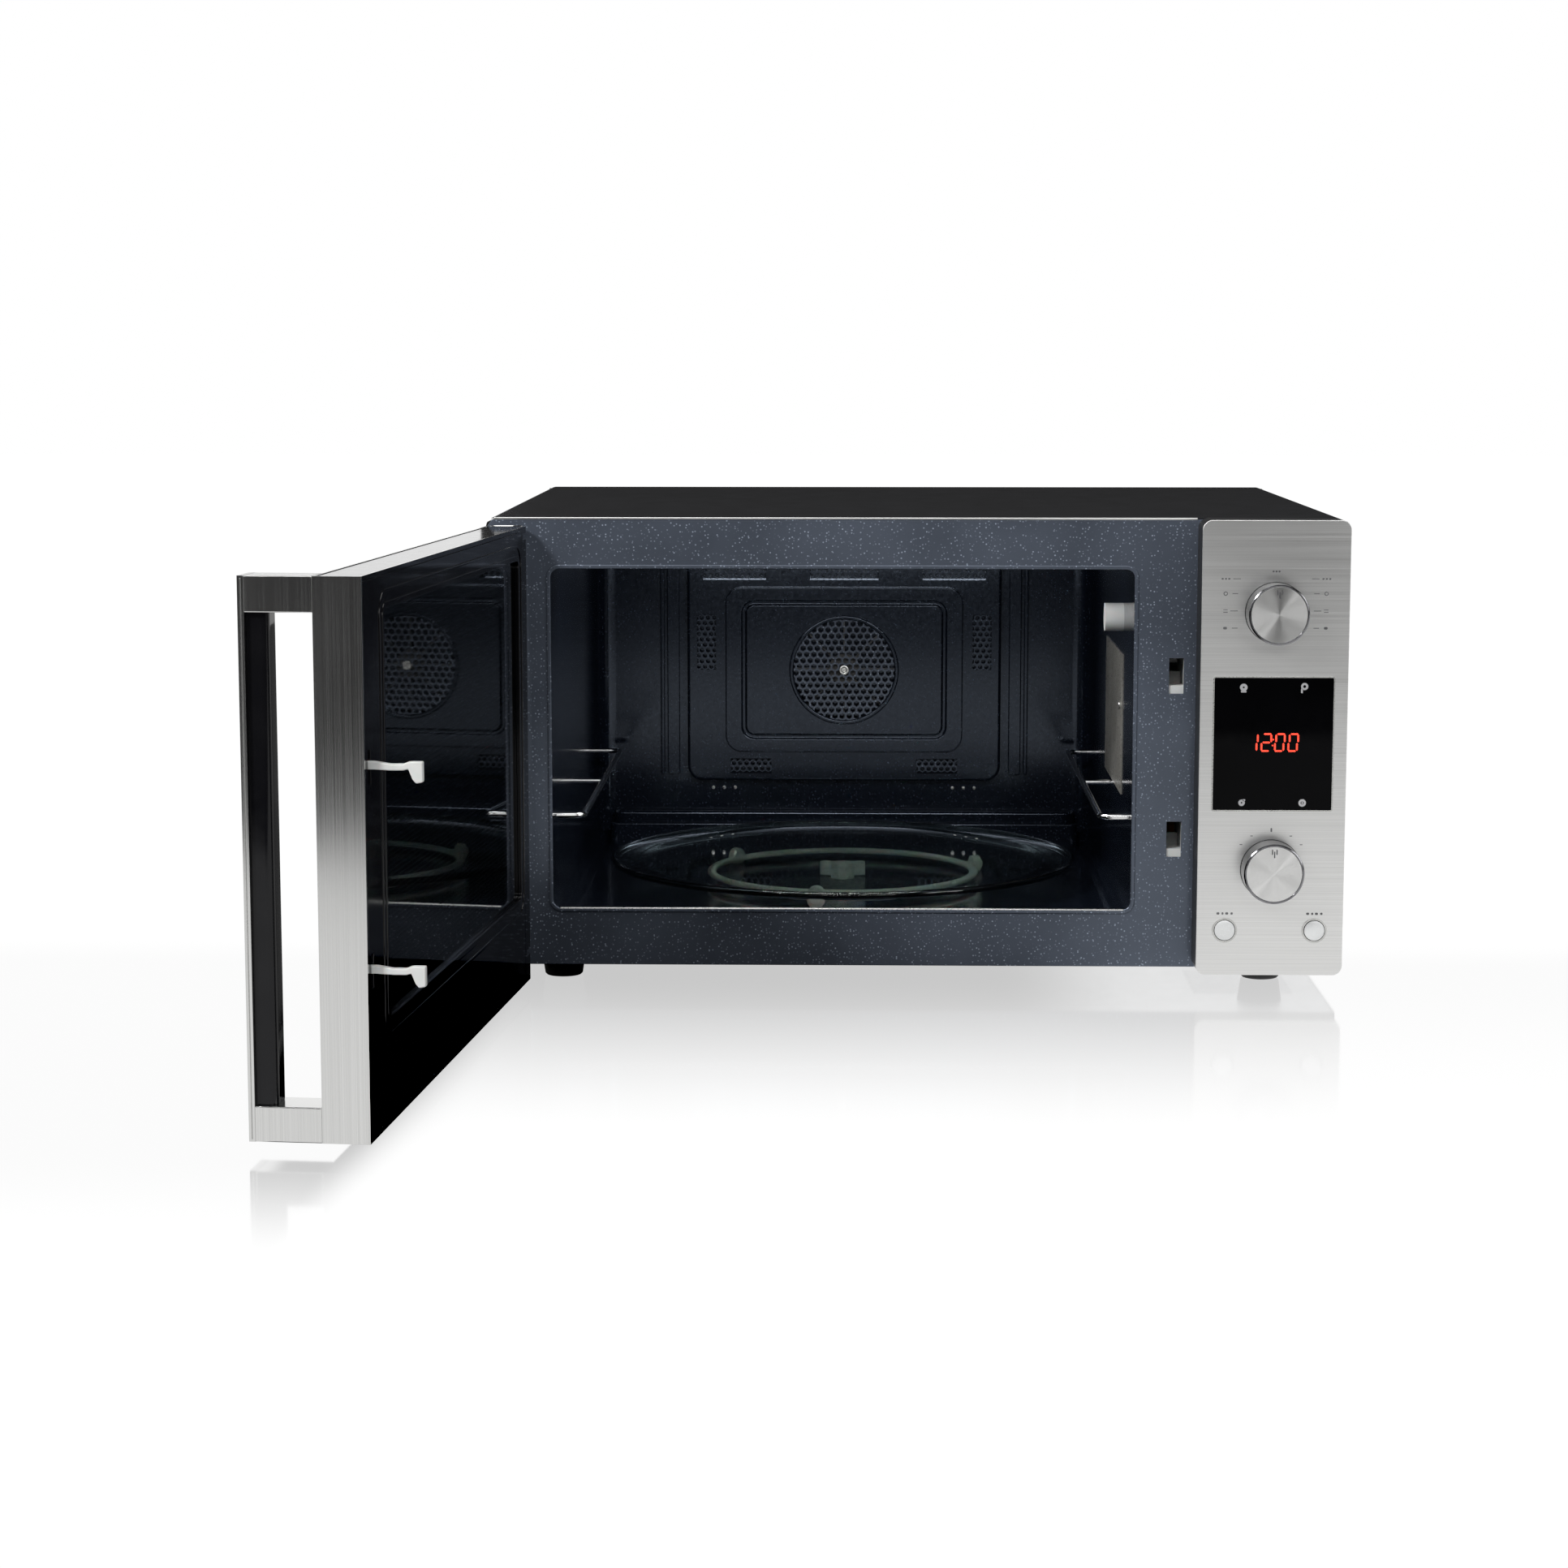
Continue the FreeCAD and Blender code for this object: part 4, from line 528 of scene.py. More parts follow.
# %% Glass
def glass(name, tint, rough, **sockets):
    pane = new_finish(name, tint, rough[0], IOR=1.5, Transmission_Weight=1.0, **sockets)
    shader = shader_of(pane)
    drift = grain(pane, (25, 25, 25))
    link(pane, colours(pane, drift, (0.3, tuple(value * 0.93 for value in tint)), (0.7, tint)),
         shader.inputs["Base Color"])
    smear = grain(pane, (140, 140, 140), detail=3.0)
    link(pane, between(pane, smear, *rough), shader.inputs["Roughness"])
    bumped(pane, smear, 0.00001, 0.3)
    return pane


tray_glass = glass("tray_glass", (0.78, 0.90, 0.84), (0.0, 0.04))
window_glass = glass("window_glass", (0.30, 0.33, 0.36), (0.0, 0.03))
lamp_glass = glass("lamp_glass", (0.92, 0.90, 0.84), (0.02, 0.08))
black_glass = coated("black_glass", (0.0008, 0.0008, 0.001), (0.0016, 0.0016, 0.002), (0.03, 0.07),
                     bump=0.000003, stretch=(25, 25, 25), fine=(140, 140, 140), Specular_IOR_Level=0.05)
print("glass ready")

# %% [markdown]
# A part of the engineering model whose shape is right keeps it, and only gets a finish. The parts are
# listed by finish, because several are made of the same stuff.

# %% Finishes for the parts that keep their shape
for finish, nodes in (
    (cover_paint, "outer_cover"),
    (zinc_sheet, "base_plate rear_panel motor_cover waveguide"),
    (plated_steel, "cover_screws thermostat hinge_plates mode_knob dial_knob"),
    (foot_rubber, "feet"),
    (frame_enamel, "front_frame"),
    (shaded_cavity_enamel, "cavity_liner convection_baffle"),
    (heater_steel, "convection_chamber ring_heater"),
    (motor_steel, "convection_motor turntable_motor capacitor"),
    (satin_black, "convection_fan cable_inlet choke_plate interlock_switches panel_carrier "
                  "display_module key_switches rotary_encoders"),
    (tray_glass, "glass_tray"),
    (tray_plastic, "turntable_coupler roller_ring roller_1 roller_2 roller_3"),
    (chrome_wire, "tray_guides latch_spring"),
    (mica_sheet, "waveguide_cover"),
    (fin_aluminium, "magnetron"),
    (laminations, "transformer_core cooling_motor"),
    (copper_coil, "transformer_winding"),
    (fan_moulding, "fan_shroud cooling_fan air_duct"),
    (grey_moulding, "lamp_cover lamp_holder latch_bar latch_board"),
    (lamp_glass, "lamp_bulb"),
    (board_green, "filter_board control_board"),
    (steel_upright, "door_frame door_handle"),
    (black_glass, "door_glass display_window"),
    (gloss_black, "inner_cover handle_grip"),
    (window_glass, "inner_window"),
    (lit_steel_across, "panel_skin"),
    (button_moulding, "left_button right_button"),
):
    for name in nodes.split():
        slots = frame["nodes"][name].data.materials
        if not slots:
            slots.append(finish)
        for number in range(len(slots)):
            slots[number] = finish
print("nodes dressed")

# %% [markdown]
# ## Handing a new piece to the frame
# A new piece rides on the body that it belongs to and names the node that it stands for, if any.

# %% Handing over
def hand_over(piece, finish, slot, *nodes, body="cabinet"):
    if finish is not None:
        piece.data.materials.clear()
        piece.data.materials.append(finish)
    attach(piece, body)
    if nodes:
        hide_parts(*nodes)
    print(f"{piece.name}: {len(piece.data.polygons)} faces on {body}")
    return piece

# %% [markdown]
# ## The cavity
# The liner is drawn from one sheet, so its corners are generous rounds and its back wall flows into
# the floor. A block of the cavity's size becomes the liner: its long inner edges are bevelled, its
# front is deleted, and Solidify gives the sheet its thickness. The floor has a shallow pressed panel
# for the turntable, made by an inset that is pushed down a little.

# %% Cavity liner
LINER_SHEET = 0.8 * MM
CORNER_ROUND = 14 * MM
opening_low = Vector((cavity_low.x + LINER_SHEET, cavity_low.y, cavity_low.z + LINER_SHEET))
opening_high = Vector((cavity_high.x - LINER_SHEET, cavity_high.y - LINER_SHEET,
                       cavity_high.z - LINER_SHEET))
liner = block("cavity_shell", opening_low, opening_high)
round_edges(liner, lambda middle, way: abs(way.z) > 0.99 and middle.y > 0, CORNER_ROUND, 8)
round_edges(liner, lambda middle, way: middle.z < opening_low.z + MM and middle.y > opening_low.y + MM,
            4 * MM, 4)
enter(liner)
pick_faces(liner, lambda centre, normal: normal.z < -0.99)
inset(5)
inset(1.6, -1.4)
pick_faces(liner, front_face)
bpy.ops.mesh.delete(type="FACE")
bpy.ops.mesh.select_all(action="SELECT")
bpy.ops.mesh.flip_normals()
leave()
smooth(modified(liner, "SOLIDIFY", thickness=LINER_SHEET, offset=-1.0), 50)
hand_over(liner, shaded_cavity_enamel, "speckled_enamel", "cavity_liner")

# %% [markdown]
# A raised step crosses the floor below the back wall, with a lower, narrow bead in front of it. Both
# are blocks with rounded front corners and soft edges, which draw the two thin lines behind the tray.

# %% Step and bead at the back of the floor
def floor_bar(name, end_gap, front, back, rise, corner, softness):
    """A bar across the floor, between the side walls; gaps, rise and rounds are in millimetres."""
    bar = block(name, (opening_low.x + end_gap * MM, front, opening_low.z + 0.2 * MM),
                (opening_high.x - end_gap * MM, back, opening_low.z + rise * MM))
    round_edges(bar, lambda middle, way: abs(way.z) > 0.99 and middle.y < front + MM, corner * MM, 8)
    hand_over(soften(bar, softness * MM, 4), shaded_cavity_enamel, "speckled_enamel")


step_front = opening_high.y - 12 * MM
floor_bar("floor_step", 12, step_front, opening_high.y - 0.5 * MM, 25, 9, 2.4)
floor_bar("floor_bead", 10, step_front - 8 * MM, step_front - MM, 17, 6, 2.0)

# %% [markdown]
# Upright ribs are pressed into the back wall on both sides of the baffle. Each is a long pad with
# round ends: a plate rounded in its own plane, with its edges softened.

# %% Ribs on the back wall
baffle_low, baffle_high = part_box("convection_baffle")
baffle_x = (baffle_low.x + baffle_high.x) / 2
ribs = []
for side in (-1, 1):
    for reaches in ((6, 15), (17, 20)):
        near, far = sorted(baffle_x + side * (baffle_high.x - baffle_x + reach * MM)
                           for reach in reaches)
        ribs.append(plate("rib", (near, opening_high.y - 3 * MM, baffle_low.z + 4 * MM),
                          (far, opening_high.y, opening_high.z - MM), "y", 1.4 * MM, 4))
back_ribs = soften(joined("back_ribs", ribs), 0.8 * MM, 3)
hand_over(back_ribs, shaded_cavity_enamel, "speckled_enamel")

# %% [markdown]
# ## Perforated sheet
# The fan draws air through a round field of holes and blows it out through small patches. One cell
# is a six-sided disc that is inset and loses its middle; at this size the hole reads as round. Arrays
# repeat the cell in staggered rows, the seams are merged, and Solidify gives the sheet its thickness.

# %% Perforated sheet
def perforated(name, centre, width, height, pitch, hole, thickness, keep=None):
    """A sheet of hexagonal cells in the XZ plane that fills a rectangle round the centre."""
    size = pitch / math.sqrt(3)
    deselect()
    bpy.ops.mesh.primitive_circle_add(vertices=6, radius=size, fill_type="NGON",
                                      rotation=(math.pi / 2, 0, 0))
    cell = named(name)
    enter(cell, everything=True)
    bpy.ops.mesh.inset(thickness=pitch / 2 - hole)
    bpy.ops.mesh.delete(type="FACE")
    leave()
    row = 1.5 * size
    columns, rows = int(width / pitch), max(1, int(height / (2 * row)))
    stagger = copy_of(cell, "stagger", (pitch / 2, 0, row))
    cell = joined(name, [cell, stagger])
    for count, offset in ((columns, (pitch, 0, 0)), (rows, (0, 0, 2 * row))):
        modified(cell, "ARRAY", count=count, use_relative_offset=False, use_constant_offset=True,
                 constant_offset_displace=offset)
    cell.location = (centre[0] - (columns - 0.5) * pitch / 2, centre[1],
                     centre[2] - (2 * rows - 1) * row / 2)
    settle(cell)
    if keep is not None:
        enter(cell)
        pick_faces(cell, lambda middle, normal: not keep(middle))
        bpy.ops.mesh.delete(type="FACE")
        leave()
    enter(cell, everything=True)
    bpy.ops.mesh.remove_doubles(threshold=pitch / 50)
    leave()
    return outward(modified(cell, "SOLIDIFY", thickness=thickness))


# %% [markdown]
# ## The convection baffle
# The baffle is a pressed pan with two more steps on it, like nested trays, each with round corners.
# The pan and the step on it are plates with rounded corners, a groove is cut into the step, and all
# edges are softened. Windows are then cut for the perforated patches and for the fan.

# %% Baffle
baffle_z = (baffle_low.z + baffle_high.z) / 2
baffle_face = baffle_high.y - 8 * MM
pan = plate("baffle_pan", (baffle_low.x, baffle_face, baffle_low.z),
            (baffle_high.x, baffle_high.y - 0.2 * MM, baffle_high.z), "y", 11 * MM, 10)
soften(pan, 2.2 * MM, 4)
centre = Vector((baffle_x, 0, baffle_z))
plateau_front = baffle_low.y + 1.4 * MM


def pressed(name, half_width, half_height, front, back, radius):
    """A plate with round corners, centred on the baffle."""
    half = Vector((half_width, 0, half_height)) * MM
    return plate(name, centre - half + Vector((0, front, 0)), centre + half + Vector((0, back, 0)),
                 "y", radius * MM, 10)


def well_for_fan(front):
    return disc("well", "y", (baffle_x, front, baffle_z), 20 * MM, CAP_RADIUS - 2 * MM, 96)


CAP_RADIUS = 40 * MM
plateau = pressed("plateau", 86.5, 60.5, plateau_front, baffle_face + 2 * MM, 12)
groove = pressed("groove", 74.5, 50.5, plateau_front - MM, plateau_front + 2 * MM, 9)
cut_away(groove, pressed("island", 71.5, 47.5, plateau_front - 3 * MM, plateau_front + 4 * MM, 6))
cut_away(plateau, groove)
cut_away(plateau, well_for_fan(plateau_front - MM))
soften(plateau, 0.9 * MM, 3)
patch_x, patch_z = 100.5 * MM, 71 * MM
patches = [(-patch_x, 20 * MM, 14, 40), (patch_x, 20 * MM, 14, 40), (-80 * MM, patch_z, 46, 11),
           (0, patch_z, 50, 11), (80 * MM, patch_z, 46, 11), (-68 * MM, -patch_z, 30, 11),
           (68 * MM, -patch_z, 30, 11)]
windows, grilles = [], []
for x, z, across, tall in patches:
    middle = centre + Vector((x, 0, z))
    half = Vector((across * MM / 2, 0, tall * MM / 2))
    windows.append(block("window", middle - half + Vector((0, baffle_face - 2 * MM, 0)),
                         middle + half + Vector((0, baffle_high.y + MM, 0))))
    grilles.append(perforated("grille", (middle.x, baffle_face + 0.5 * MM, middle.z),
                              (across + 3) * MM, (tall + 4) * MM, 4.6 * MM, 1.55 * MM, 0.8 * MM))
cut_away(pan, *windows, well_for_fan(baffle_face - 2 * MM))
baffle = smooth(joined("baffle", [pan, plateau]), 35)
hand_over(baffle, shaded_cavity_enamel, "speckled_enamel", "convection_baffle")
hand_over(joined("air_outlets", grilles), shaded_outlet_enamel, "speckled_enamel")

# %% [markdown]
# Over the fan sits a round cap: a turned rim, and inside it a field of holes in six-fold order with a
# screw in the middle. The rim is a disc with a hole cut from it, and the field is cut to a circle.

# %% Fan grille
cap_front = baffle_low.y + 0.2 * MM
cap = disc("fan_grille_rim", "y", (baffle_x, cap_front, baffle_z), 3.6 * MM, CAP_RADIUS, 96)
hole = disc("hole", "y", (baffle_x, cap_front - MM, baffle_z), 8 * MM, CAP_RADIUS - 3.2 * MM, 96)
cut_away(cap, hole)
soften(cap, 1.1 * MM, 4)
hand_over(cap, shaded_cavity_enamel, "speckled_enamel")
field = perforated("fan_grille", (baffle_x, cap_front + 1.6 * MM, baffle_z), 84 * MM, 88 * MM,
                   5.2 * MM, 1.9 * MM, 0.8 * MM,
                   lambda spot: math.hypot(spot.x - baffle_x, spot.z - baffle_z) < CAP_RADIUS - 2 * MM)
hand_over(field, frame_enamel, "speckled_enamel")
screw = disc("fan_grille_screw", "y", (baffle_x, cap_front + 0.2 * MM, baffle_z), 2.2 * MM, 3.4 * MM,
             32)
enter(screw)
pick_faces(screw, front_face)
inset(1.4)
inset(0.4, -0.9)
leave()
soften(screw, 0.3 * MM, 2)
hand_over(screw, plated_steel, "plated_steel")

# %% [markdown]
# Three small bright studs sit in a row on each side of the back wall, between the baffle and the step.
# Each is a short turned pin with a rounded head. They are painted highlights: plated steel dots put
# where the wall shows small glints of light.

# %% Studs on the back wall
studs = []
for side in (-1, 1):
    for across in (80, 88, 96):
        place = (baffle_x + side * across * MM, opening_high.y - 1.4 * MM, baffle_z - 88 * MM)
        studs.append(soften(disc("stud", "y", place, 1.6 * MM, 1.3 * MM, 24), 0.5 * MM, 3))
# Painted highlight: these plated studs stand in for glints of light on the back wall.
hand_over(joined("wall_glint_studs", studs), plated_steel, "plated_steel")

# %% [markdown]
# ## The front frame's lip
# Where the frame meets the cavity, the enamelled sheet is folded into a rounded lip. Its lower edge is
# the brightest line of the oven, and that line is a painted highlight: a narrow sill of bright plated
# steel is let into the lip, where the real edge is enamel that catches the light. The lip is a
# frame-shaped block, bevelled all round.

# %% Opening lip
def ring_plate(name, low, high, axis, radius, border):
    """A frame-shaped plate: a rounded plate with a rounded opening."""
    along = "xyz".index(axis)
    solid = plate(name, low, high, axis, radius)
    inner_low, inner_high = Vector(low), Vector(high)
    for place in range(3):
        inner_low[place] += border if place != along else -MM
        inner_high[place] -= border if place != along else -MM
    return cut_away(solid, plate("inner", inner_low, inner_high, axis, max(radius - border, 0.6 * MM)))


LIP, OPENING_BOTTOM = 2.6 * MM, 49 * MM
lip = ring_plate("opening_lip", (opening_low.x - LIP + 0.9 * MM, front_y - 0.8 * MM,
                                 OPENING_BOTTOM - LIP + 0.9 * MM),
                 (opening_high.x + LIP - 0.9 * MM, front_y + 2 * MM, opening_high.z + LIP - 0.9 * MM),
                 "y", 8 * MM, LIP)
soften(lip, 0.8 * MM, 3)
hand_over(lip, frame_enamel, "speckled_enamel")
# Painted highlight: this plated strip stands in for the light caught by the lip's lower edge.
sill = block("opening_sill_highlight", (opening_low.x + 5 * MM, front_y - 0.7 * MM, OPENING_BOTTOM - 0.2 * MM),
             (opening_high.x - 5 * MM, front_y + 3 * MM, OPENING_BOTTOM + 1.3 * MM))
soften(sill, 0.5 * MM, 3)
hand_over(sill, plated_steel, "plated_steel")

# %% [markdown]
# The front frame and the cover are bent from sheet, so their corners aren't sharp. Both keep the shape
# of the engineering model: each is copied, its flat triangles are merged, and the sharp edges are
# rounded, so that they catch a thin line of light.

# %% Front frame and cover
def rounded_copy(name, source, width):
    piece = outward(copy_of(frame["nodes"][source], name))
    enter(piece, everything=True)
    bpy.ops.mesh.dissolve_limited(angle_limit=math.radians(1))
    leave()
    return soften(piece, width, 2, 40)


hand_over(rounded_copy("front_sheet", "front_frame", 0.35 * MM), frame_enamel, "speckled_enamel",
          "front_frame")
hand_over(rounded_copy("cover_sheet", "outer_cover", 0.4 * MM), cover_paint, "cover_paint",
          "outer_cover")

# %% [markdown]
# The cover's front edge is folded back on itself, and its fold shows as a thin light line above the
# frame. That line is a painted highlight: the fold is a narrow block with soft edges in bright brushed
# steel, not in the cover's black paint.

# %% Hem of the cover
hem = block("cover_hem_highlight", (frame_low.x + 4 * MM, front_y - 0.35 * MM, frame_high.z - 0.4 * MM),
            (panel_low.x - 0.5 * MM, front_y + 6 * MM, frame_high.z + 0.9 * MM))
soften(hem, 0.4 * MM, 3)
# Painted highlight: the hem takes bright steel so that it draws the light line.
hand_over(hem, lit_steel_across, "brushed_stainless")

# %% [markdown]
# ## The turntable
# The tray is pressed glass: a flat well, a sloping wall and a rolled rim. Its section is drawn as a
# short chain of points and spun round the turntable's axis, which is how a lathe or a mould thinks of
# it. The roller ring below it is a rounded hoop, and the rollers are small wheels with soft edges.

# %% Turned pieces
def spun(name, outline, centre, sides=128):
    """Spins an outline of (radius, height) points round a vertical axis through the centre."""
    deselect()
    bpy.ops.mesh.primitive_plane_add(size=MM, location=centre)
    piece = named(name)
    enter(piece, everything=True)
    bpy.ops.mesh.delete(type="VERT")
    leave()
    points = [(centre[0] + radius, centre[1], height) for radius, height in outline]
    edges = [(number, number + 1) for number in range(len(points) - 1)]
    piece.data.from_pydata(points, edges, [])
    piece.data.update()
    enter(piece, everything=True)
    bpy.ops.mesh.spin(steps=sides, angle=2 * math.pi, center=centre, axis=(0, 0, 1))
    leave()
    return smooth(outward(piece), 40)


def arc_points(centre, radius, start, end, steps):
    """Points on an arc of a section, from one angle to another in degrees."""
    angles = [math.radians(start + (end - start) * step / steps) for step in range(steps + 1)]
    return [(centre[0] + radius * math.cos(angle), centre[1] + radius * math.sin(angle))
            for angle in angles]


tray_low, tray_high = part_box("glass_tray")
axis_x, axis_y = (tray_low.x + tray_high.x) / 2, (tray_low.y + tray_high.y) / 2
rim = (tray_high.x - tray_low.x) / 2
under_glass, top_glass = tray_low.z, tray_high.z
GLASS = 4 * MM
well = rim - 29.5 * MM
section = [(0, under_glass), (12 * MM, under_glass), (well + 3 * MM, under_glass)]
section += [(well + 10 * MM, under_glass + 0.9 * MM), (rim - 6 * MM, top_glass - 5.2 * MM)]
section += arc_points((rim - 2.2 * MM, top_glass - 2.2 * MM), 2.2 * MM, -50, 140, 10)
section += [(rim - 9 * MM, top_glass - 3.4 * MM), (well + 8 * MM, under_glass + GLASS + 0.9 * MM),
            (well, under_glass + GLASS), (12 * MM, under_glass + GLASS), (0, under_glass + GLASS)]
tray = spun("tray", section, (axis_x, axis_y, 0), 160)
hand_over(tray, tray_glass, "clear_glass", "glass_tray", body="turntable")

# %% [markdown]
# The roller ring is a hoop with three pins: a torus that is pressed flatter by a resize, and thin discs
# with a wider head that keeps each wheel on its pin.

# %% Roller ring
wheel_low, wheel_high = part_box("roller_1")
ring_middle = Vector((axis_x, axis_y, (wheel_low.z + wheel_high.z) / 2))
RING_RADIUS, RING_HALF, RING_FLATTER = 89 * MM, 2.9 * MM, 0.66
FIRST_ROLLER = 20
deselect()
bpy.ops.mesh.primitive_torus_add(major_radius=RING_RADIUS, minor_radius=RING_HALF, major_segments=128,
                                 minor_segments=16, location=ring_middle)
hoop = named("ring")
enter(hoop, everything=True)
bpy.ops.transform.resize(value=(1, 1, RING_FLATTER), center_override=ring_middle)
leave()


def round_the_ring(piece, number):
    """Takes a piece made along +x from the origin to one of the three places on the ring."""
    turn = Matrix.Rotation(math.radians(FIRST_ROLLER + 120 * number), 4, "Z")
    piece.matrix_world = Matrix.Translation(ring_middle) @ turn
    return settle(piece)


pins = []
for number in range(3):
    pin = disc("pin", "x", (RING_RADIUS, 0, 0), 13 * MM, 1.9 * MM, 24)
    knob = disc("pin_head", "x", (RING_RADIUS + 11.6 * MM, 0, 0), 1.2 * MM, 2.9 * MM, 32)
    pins.append(round_the_ring(joined("pin", [pin, soften(knob, 0.4 * MM, 3)]), number))
roller_hoop = smooth(joined("roller_hoop", [hoop] + pins))
hand_over(roller_hoop, tray_plastic, "roller_plastic", "roller_ring", body="roller_ring")

# %% [markdown]
# Each wheel is a short disc with a bore and soft edges. It stays a piece of its own, because it spins
# on its pin while the ring goes round.

# %% Rollers
WHEEL_RADIUS, WHEEL_START, WHEEL_WIDTH = 5.8 * MM, 94 * MM, 6 * MM
for number in range(3):
    wheel = disc(f"roller_wheel_{number + 1}", "x", (WHEEL_START, 0, 0), WHEEL_WIDTH, WHEEL_RADIUS, 48)
    cut_away(wheel, disc("bore", "x", (WHEEL_START - MM, 0, 0), 9 * MM, 2.0 * MM, 32))
    round_the_ring(soften(wheel, 0.8 * MM, 4), number)
    hand_over(wheel, tray_plastic, "roller_plastic", f"roller_{number + 1}",
              body=f"roller_{number + 1}")

# %% [markdown]
# ## The side guides
# Each guide is one bent wire: out of the wall, along the cavity and back in, with a short stub in the
# middle. A curve with a round bevel is the natural way to model a wire; it is turned into a mesh so
# that it can carry its place in itself.

# %% Side guides
guides_low, guides_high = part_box("tray_guides")
wire_z = (guides_low.z + guides_high.z) / 2
WIRE = (guides_high.z - guides_low.z) / 2 * 0.98


def wire_piece(name, points, radius, corner):
    """A round wire along straight runs whose corners are arcs."""
    deselect()
    bpy.ops.curve.primitive_nurbs_path_add()
    wire = bpy.context.object
    wire.name = wire.data.name = name
    path = wire.data
    path.splines.clear()
    spots = [Vector(point) for point in points]
    line = [spots[0]]
    for before, here, after in zip(spots, spots[1:], spots[2:]):
        back, on = (before - here).normalized(), (after - here).normalized()
        start, end = here + back * corner, here + on * corner
        for step in range(9):
            share = step / 8
            line.append(start * (1 - share) ** 2 + here * 2 * share * (1 - share) + end * share ** 2)
    line.append(spots[-1])
    spline = path.splines.new("POLY")
    spline.points.add(len(line) - 1)
    for point, place in zip(spline.points, line):
        point.co = (*place, 1)
    path.dimensions = "3D"
    path.bevel_depth = radius
    path.bevel_resolution = 6
    path.use_fill_caps = True
    select_only(wire)
    bpy.ops.object.convert(target="MESH")
    return smooth(outward(named(name)), 50)


REACH = 19 * MM
for name, wall, inward in (("left_guide", opening_low.x, 1), ("right_guide", opening_high.x, -1)):
    far = wall + inward * (REACH - 0.2 * MM)
    near_y, far_y = guides_low.y + WIRE, guides_high.y - WIRE
    middle_y = (near_y + far_y) / 2
    rail = wire_piece(name, [(wall, near_y, wire_z), (far, near_y, wire_z), (far, far_y, wire_z),
                             (wall, far_y, wire_z)], WIRE, 8 * MM)
    stub = wire_piece("stub", [(wall, middle_y, wire_z), (far - inward * MM, middle_y, wire_z)], WIRE,
                      MM)
    guide = joined(name, [rail, stub])
    nodes = ("tray_guides",) if name == "left_guide" else ()
    hand_over(guide, chrome_wire, "chrome_wire", *nodes)

# %% [markdown]
# ## The door
# The door is a stainless skin folded round a box, with gloss black caps on its top, bottom and inner
# face. It is one block: its hinge side is rounded, a pocket is cut from inside, a view from outside,
# and two slots let the hinge arms in. The caps are faces that are inset and given a second finish.

# %% Door shell
door_low, door_high = closed_box("door_frame")
DOOR_WALL, STILE = 2.5 * MM, 24 * MM
shell = block("door_shell", door_low, door_high)
round_edges(shell, lambda middle, way: abs(way.z) > 0.99 and middle.x < door_low.x + MM
            and middle.y > door_high.y - MM, 10 * MM, 10)
round_edges(shell, lambda middle, way: abs(way.z) > 0.99 and middle.x < door_low.x + MM
            and middle.y < door_low.y + MM, 8 * MM, 10)
glass_low, glass_high = closed_box("door_glass")
LAP = 8 * MM
view = plate("view", (glass_low.x + LAP, door_low.y - MM, glass_low.z + LAP),
             (glass_high.x - LAP, door_low.y + DOOR_WALL + MM, glass_high.z - LAP), "y", 8 * MM)
pocket = block("pocket", (door_low.x + STILE, door_low.y + DOOR_WALL, door_low.z + DOOR_WALL),
               (door_high.x - DOOR_WALL, door_high.y + MM, door_high.z - DOOR_WALL))
arms = [block("arm", (door_low.x - MM, hinge_point.y - 10.5 * MM, low),
              (hinge_point.x + 7.5 * MM, door_high.y + MM, low + 4 * MM))
        for low in (door_low.z + 16 * MM, door_high.z - 8 * MM)]
cut_away(shell, view)
cut_away(shell, pocket)
cut_away(shell, joined("arms", arms))
shell.data.materials.append(steel_upright)
shell.data.materials.append(gloss_black)
shell.active_material_index = 1
enter(shell)
pick_faces(shell, lambda middle, normal: abs(normal.z) > 0.99
           and not door_low.z + MM < middle.z < door_high.z - MM)
inset(1.3)
inset(0.3, -0.3)
bpy.ops.object.material_slot_assign()
pick_faces(shell, lambda middle, normal: normal.y > 0.99 and middle.y > door_high.y - 0.1 * MM
           and middle.x < door_high.x - 30 * MM)
bpy.ops.object.material_slot_assign()
leave()
soften(shell, 0.8 * MM, 3)
swing_open(shell)
hand_over(shell, None, "brushed_stainless", "door_frame", body="door")

# %% [markdown]
# The inner cover is one gloss black moulding with a window. A slim bezel runs round the window and a
# bead runs round that. Both stand half a millimetre proud, and their soft edges catch the light.

# %% Inner cover
cover_low, cover_high = closed_box("inner_cover")
pane_low, pane_high = closed_box("inner_window")
PANE_LAP = 5 * MM
window_low = Vector((pane_low.x + PANE_LAP, cover_low.y, pane_low.z + PANE_LAP))
window_high = Vector((pane_high.x - PANE_LAP, cover_high.y, pane_high.z - PANE_LAP))
HOOK_LOWS = [frame_low.z + rise * MM for rise in (70.6, 172.6)]
latch_low, latch_high = closed_box("latch_bar")
latch_x = (latch_low.x + latch_high.x) / 2
cover = block("door_inner_cover", cover_low, cover_high)
cut_away(cover, plate("window", window_low - Vector((0, MM, 0)), window_high + Vector((0, MM, 0)), "y",
                      5 * MM))
slots = [block("slot", (latch_x - 2.9 * MM, cover_low.y - MM, low - 0.8 * MM),
               (latch_x + 2.9 * MM, cover_high.y + MM, low + 16.3 * MM)) for low in HOOK_LOWS]
cut_away(cover, *slots)
soften(cover, 0.4 * MM, 2)
PROUD = 0.5 * MM
trims = []
for reach, border in ((3.0, 3.4), (9.5, 1.8)):
    out = Vector((reach * MM, 0, reach * MM))
    trim = ring_plate("trim", window_low - out + Vector((0, 1.2 * MM, 0)),
                      window_high + out + Vector((0, PROUD, 0)), "y", (5 + reach) * MM, border * MM)
    trims.append(soften(trim, 0.45 * MM, 3))
cover = joined("door_inner_cover", [cover] + trims)
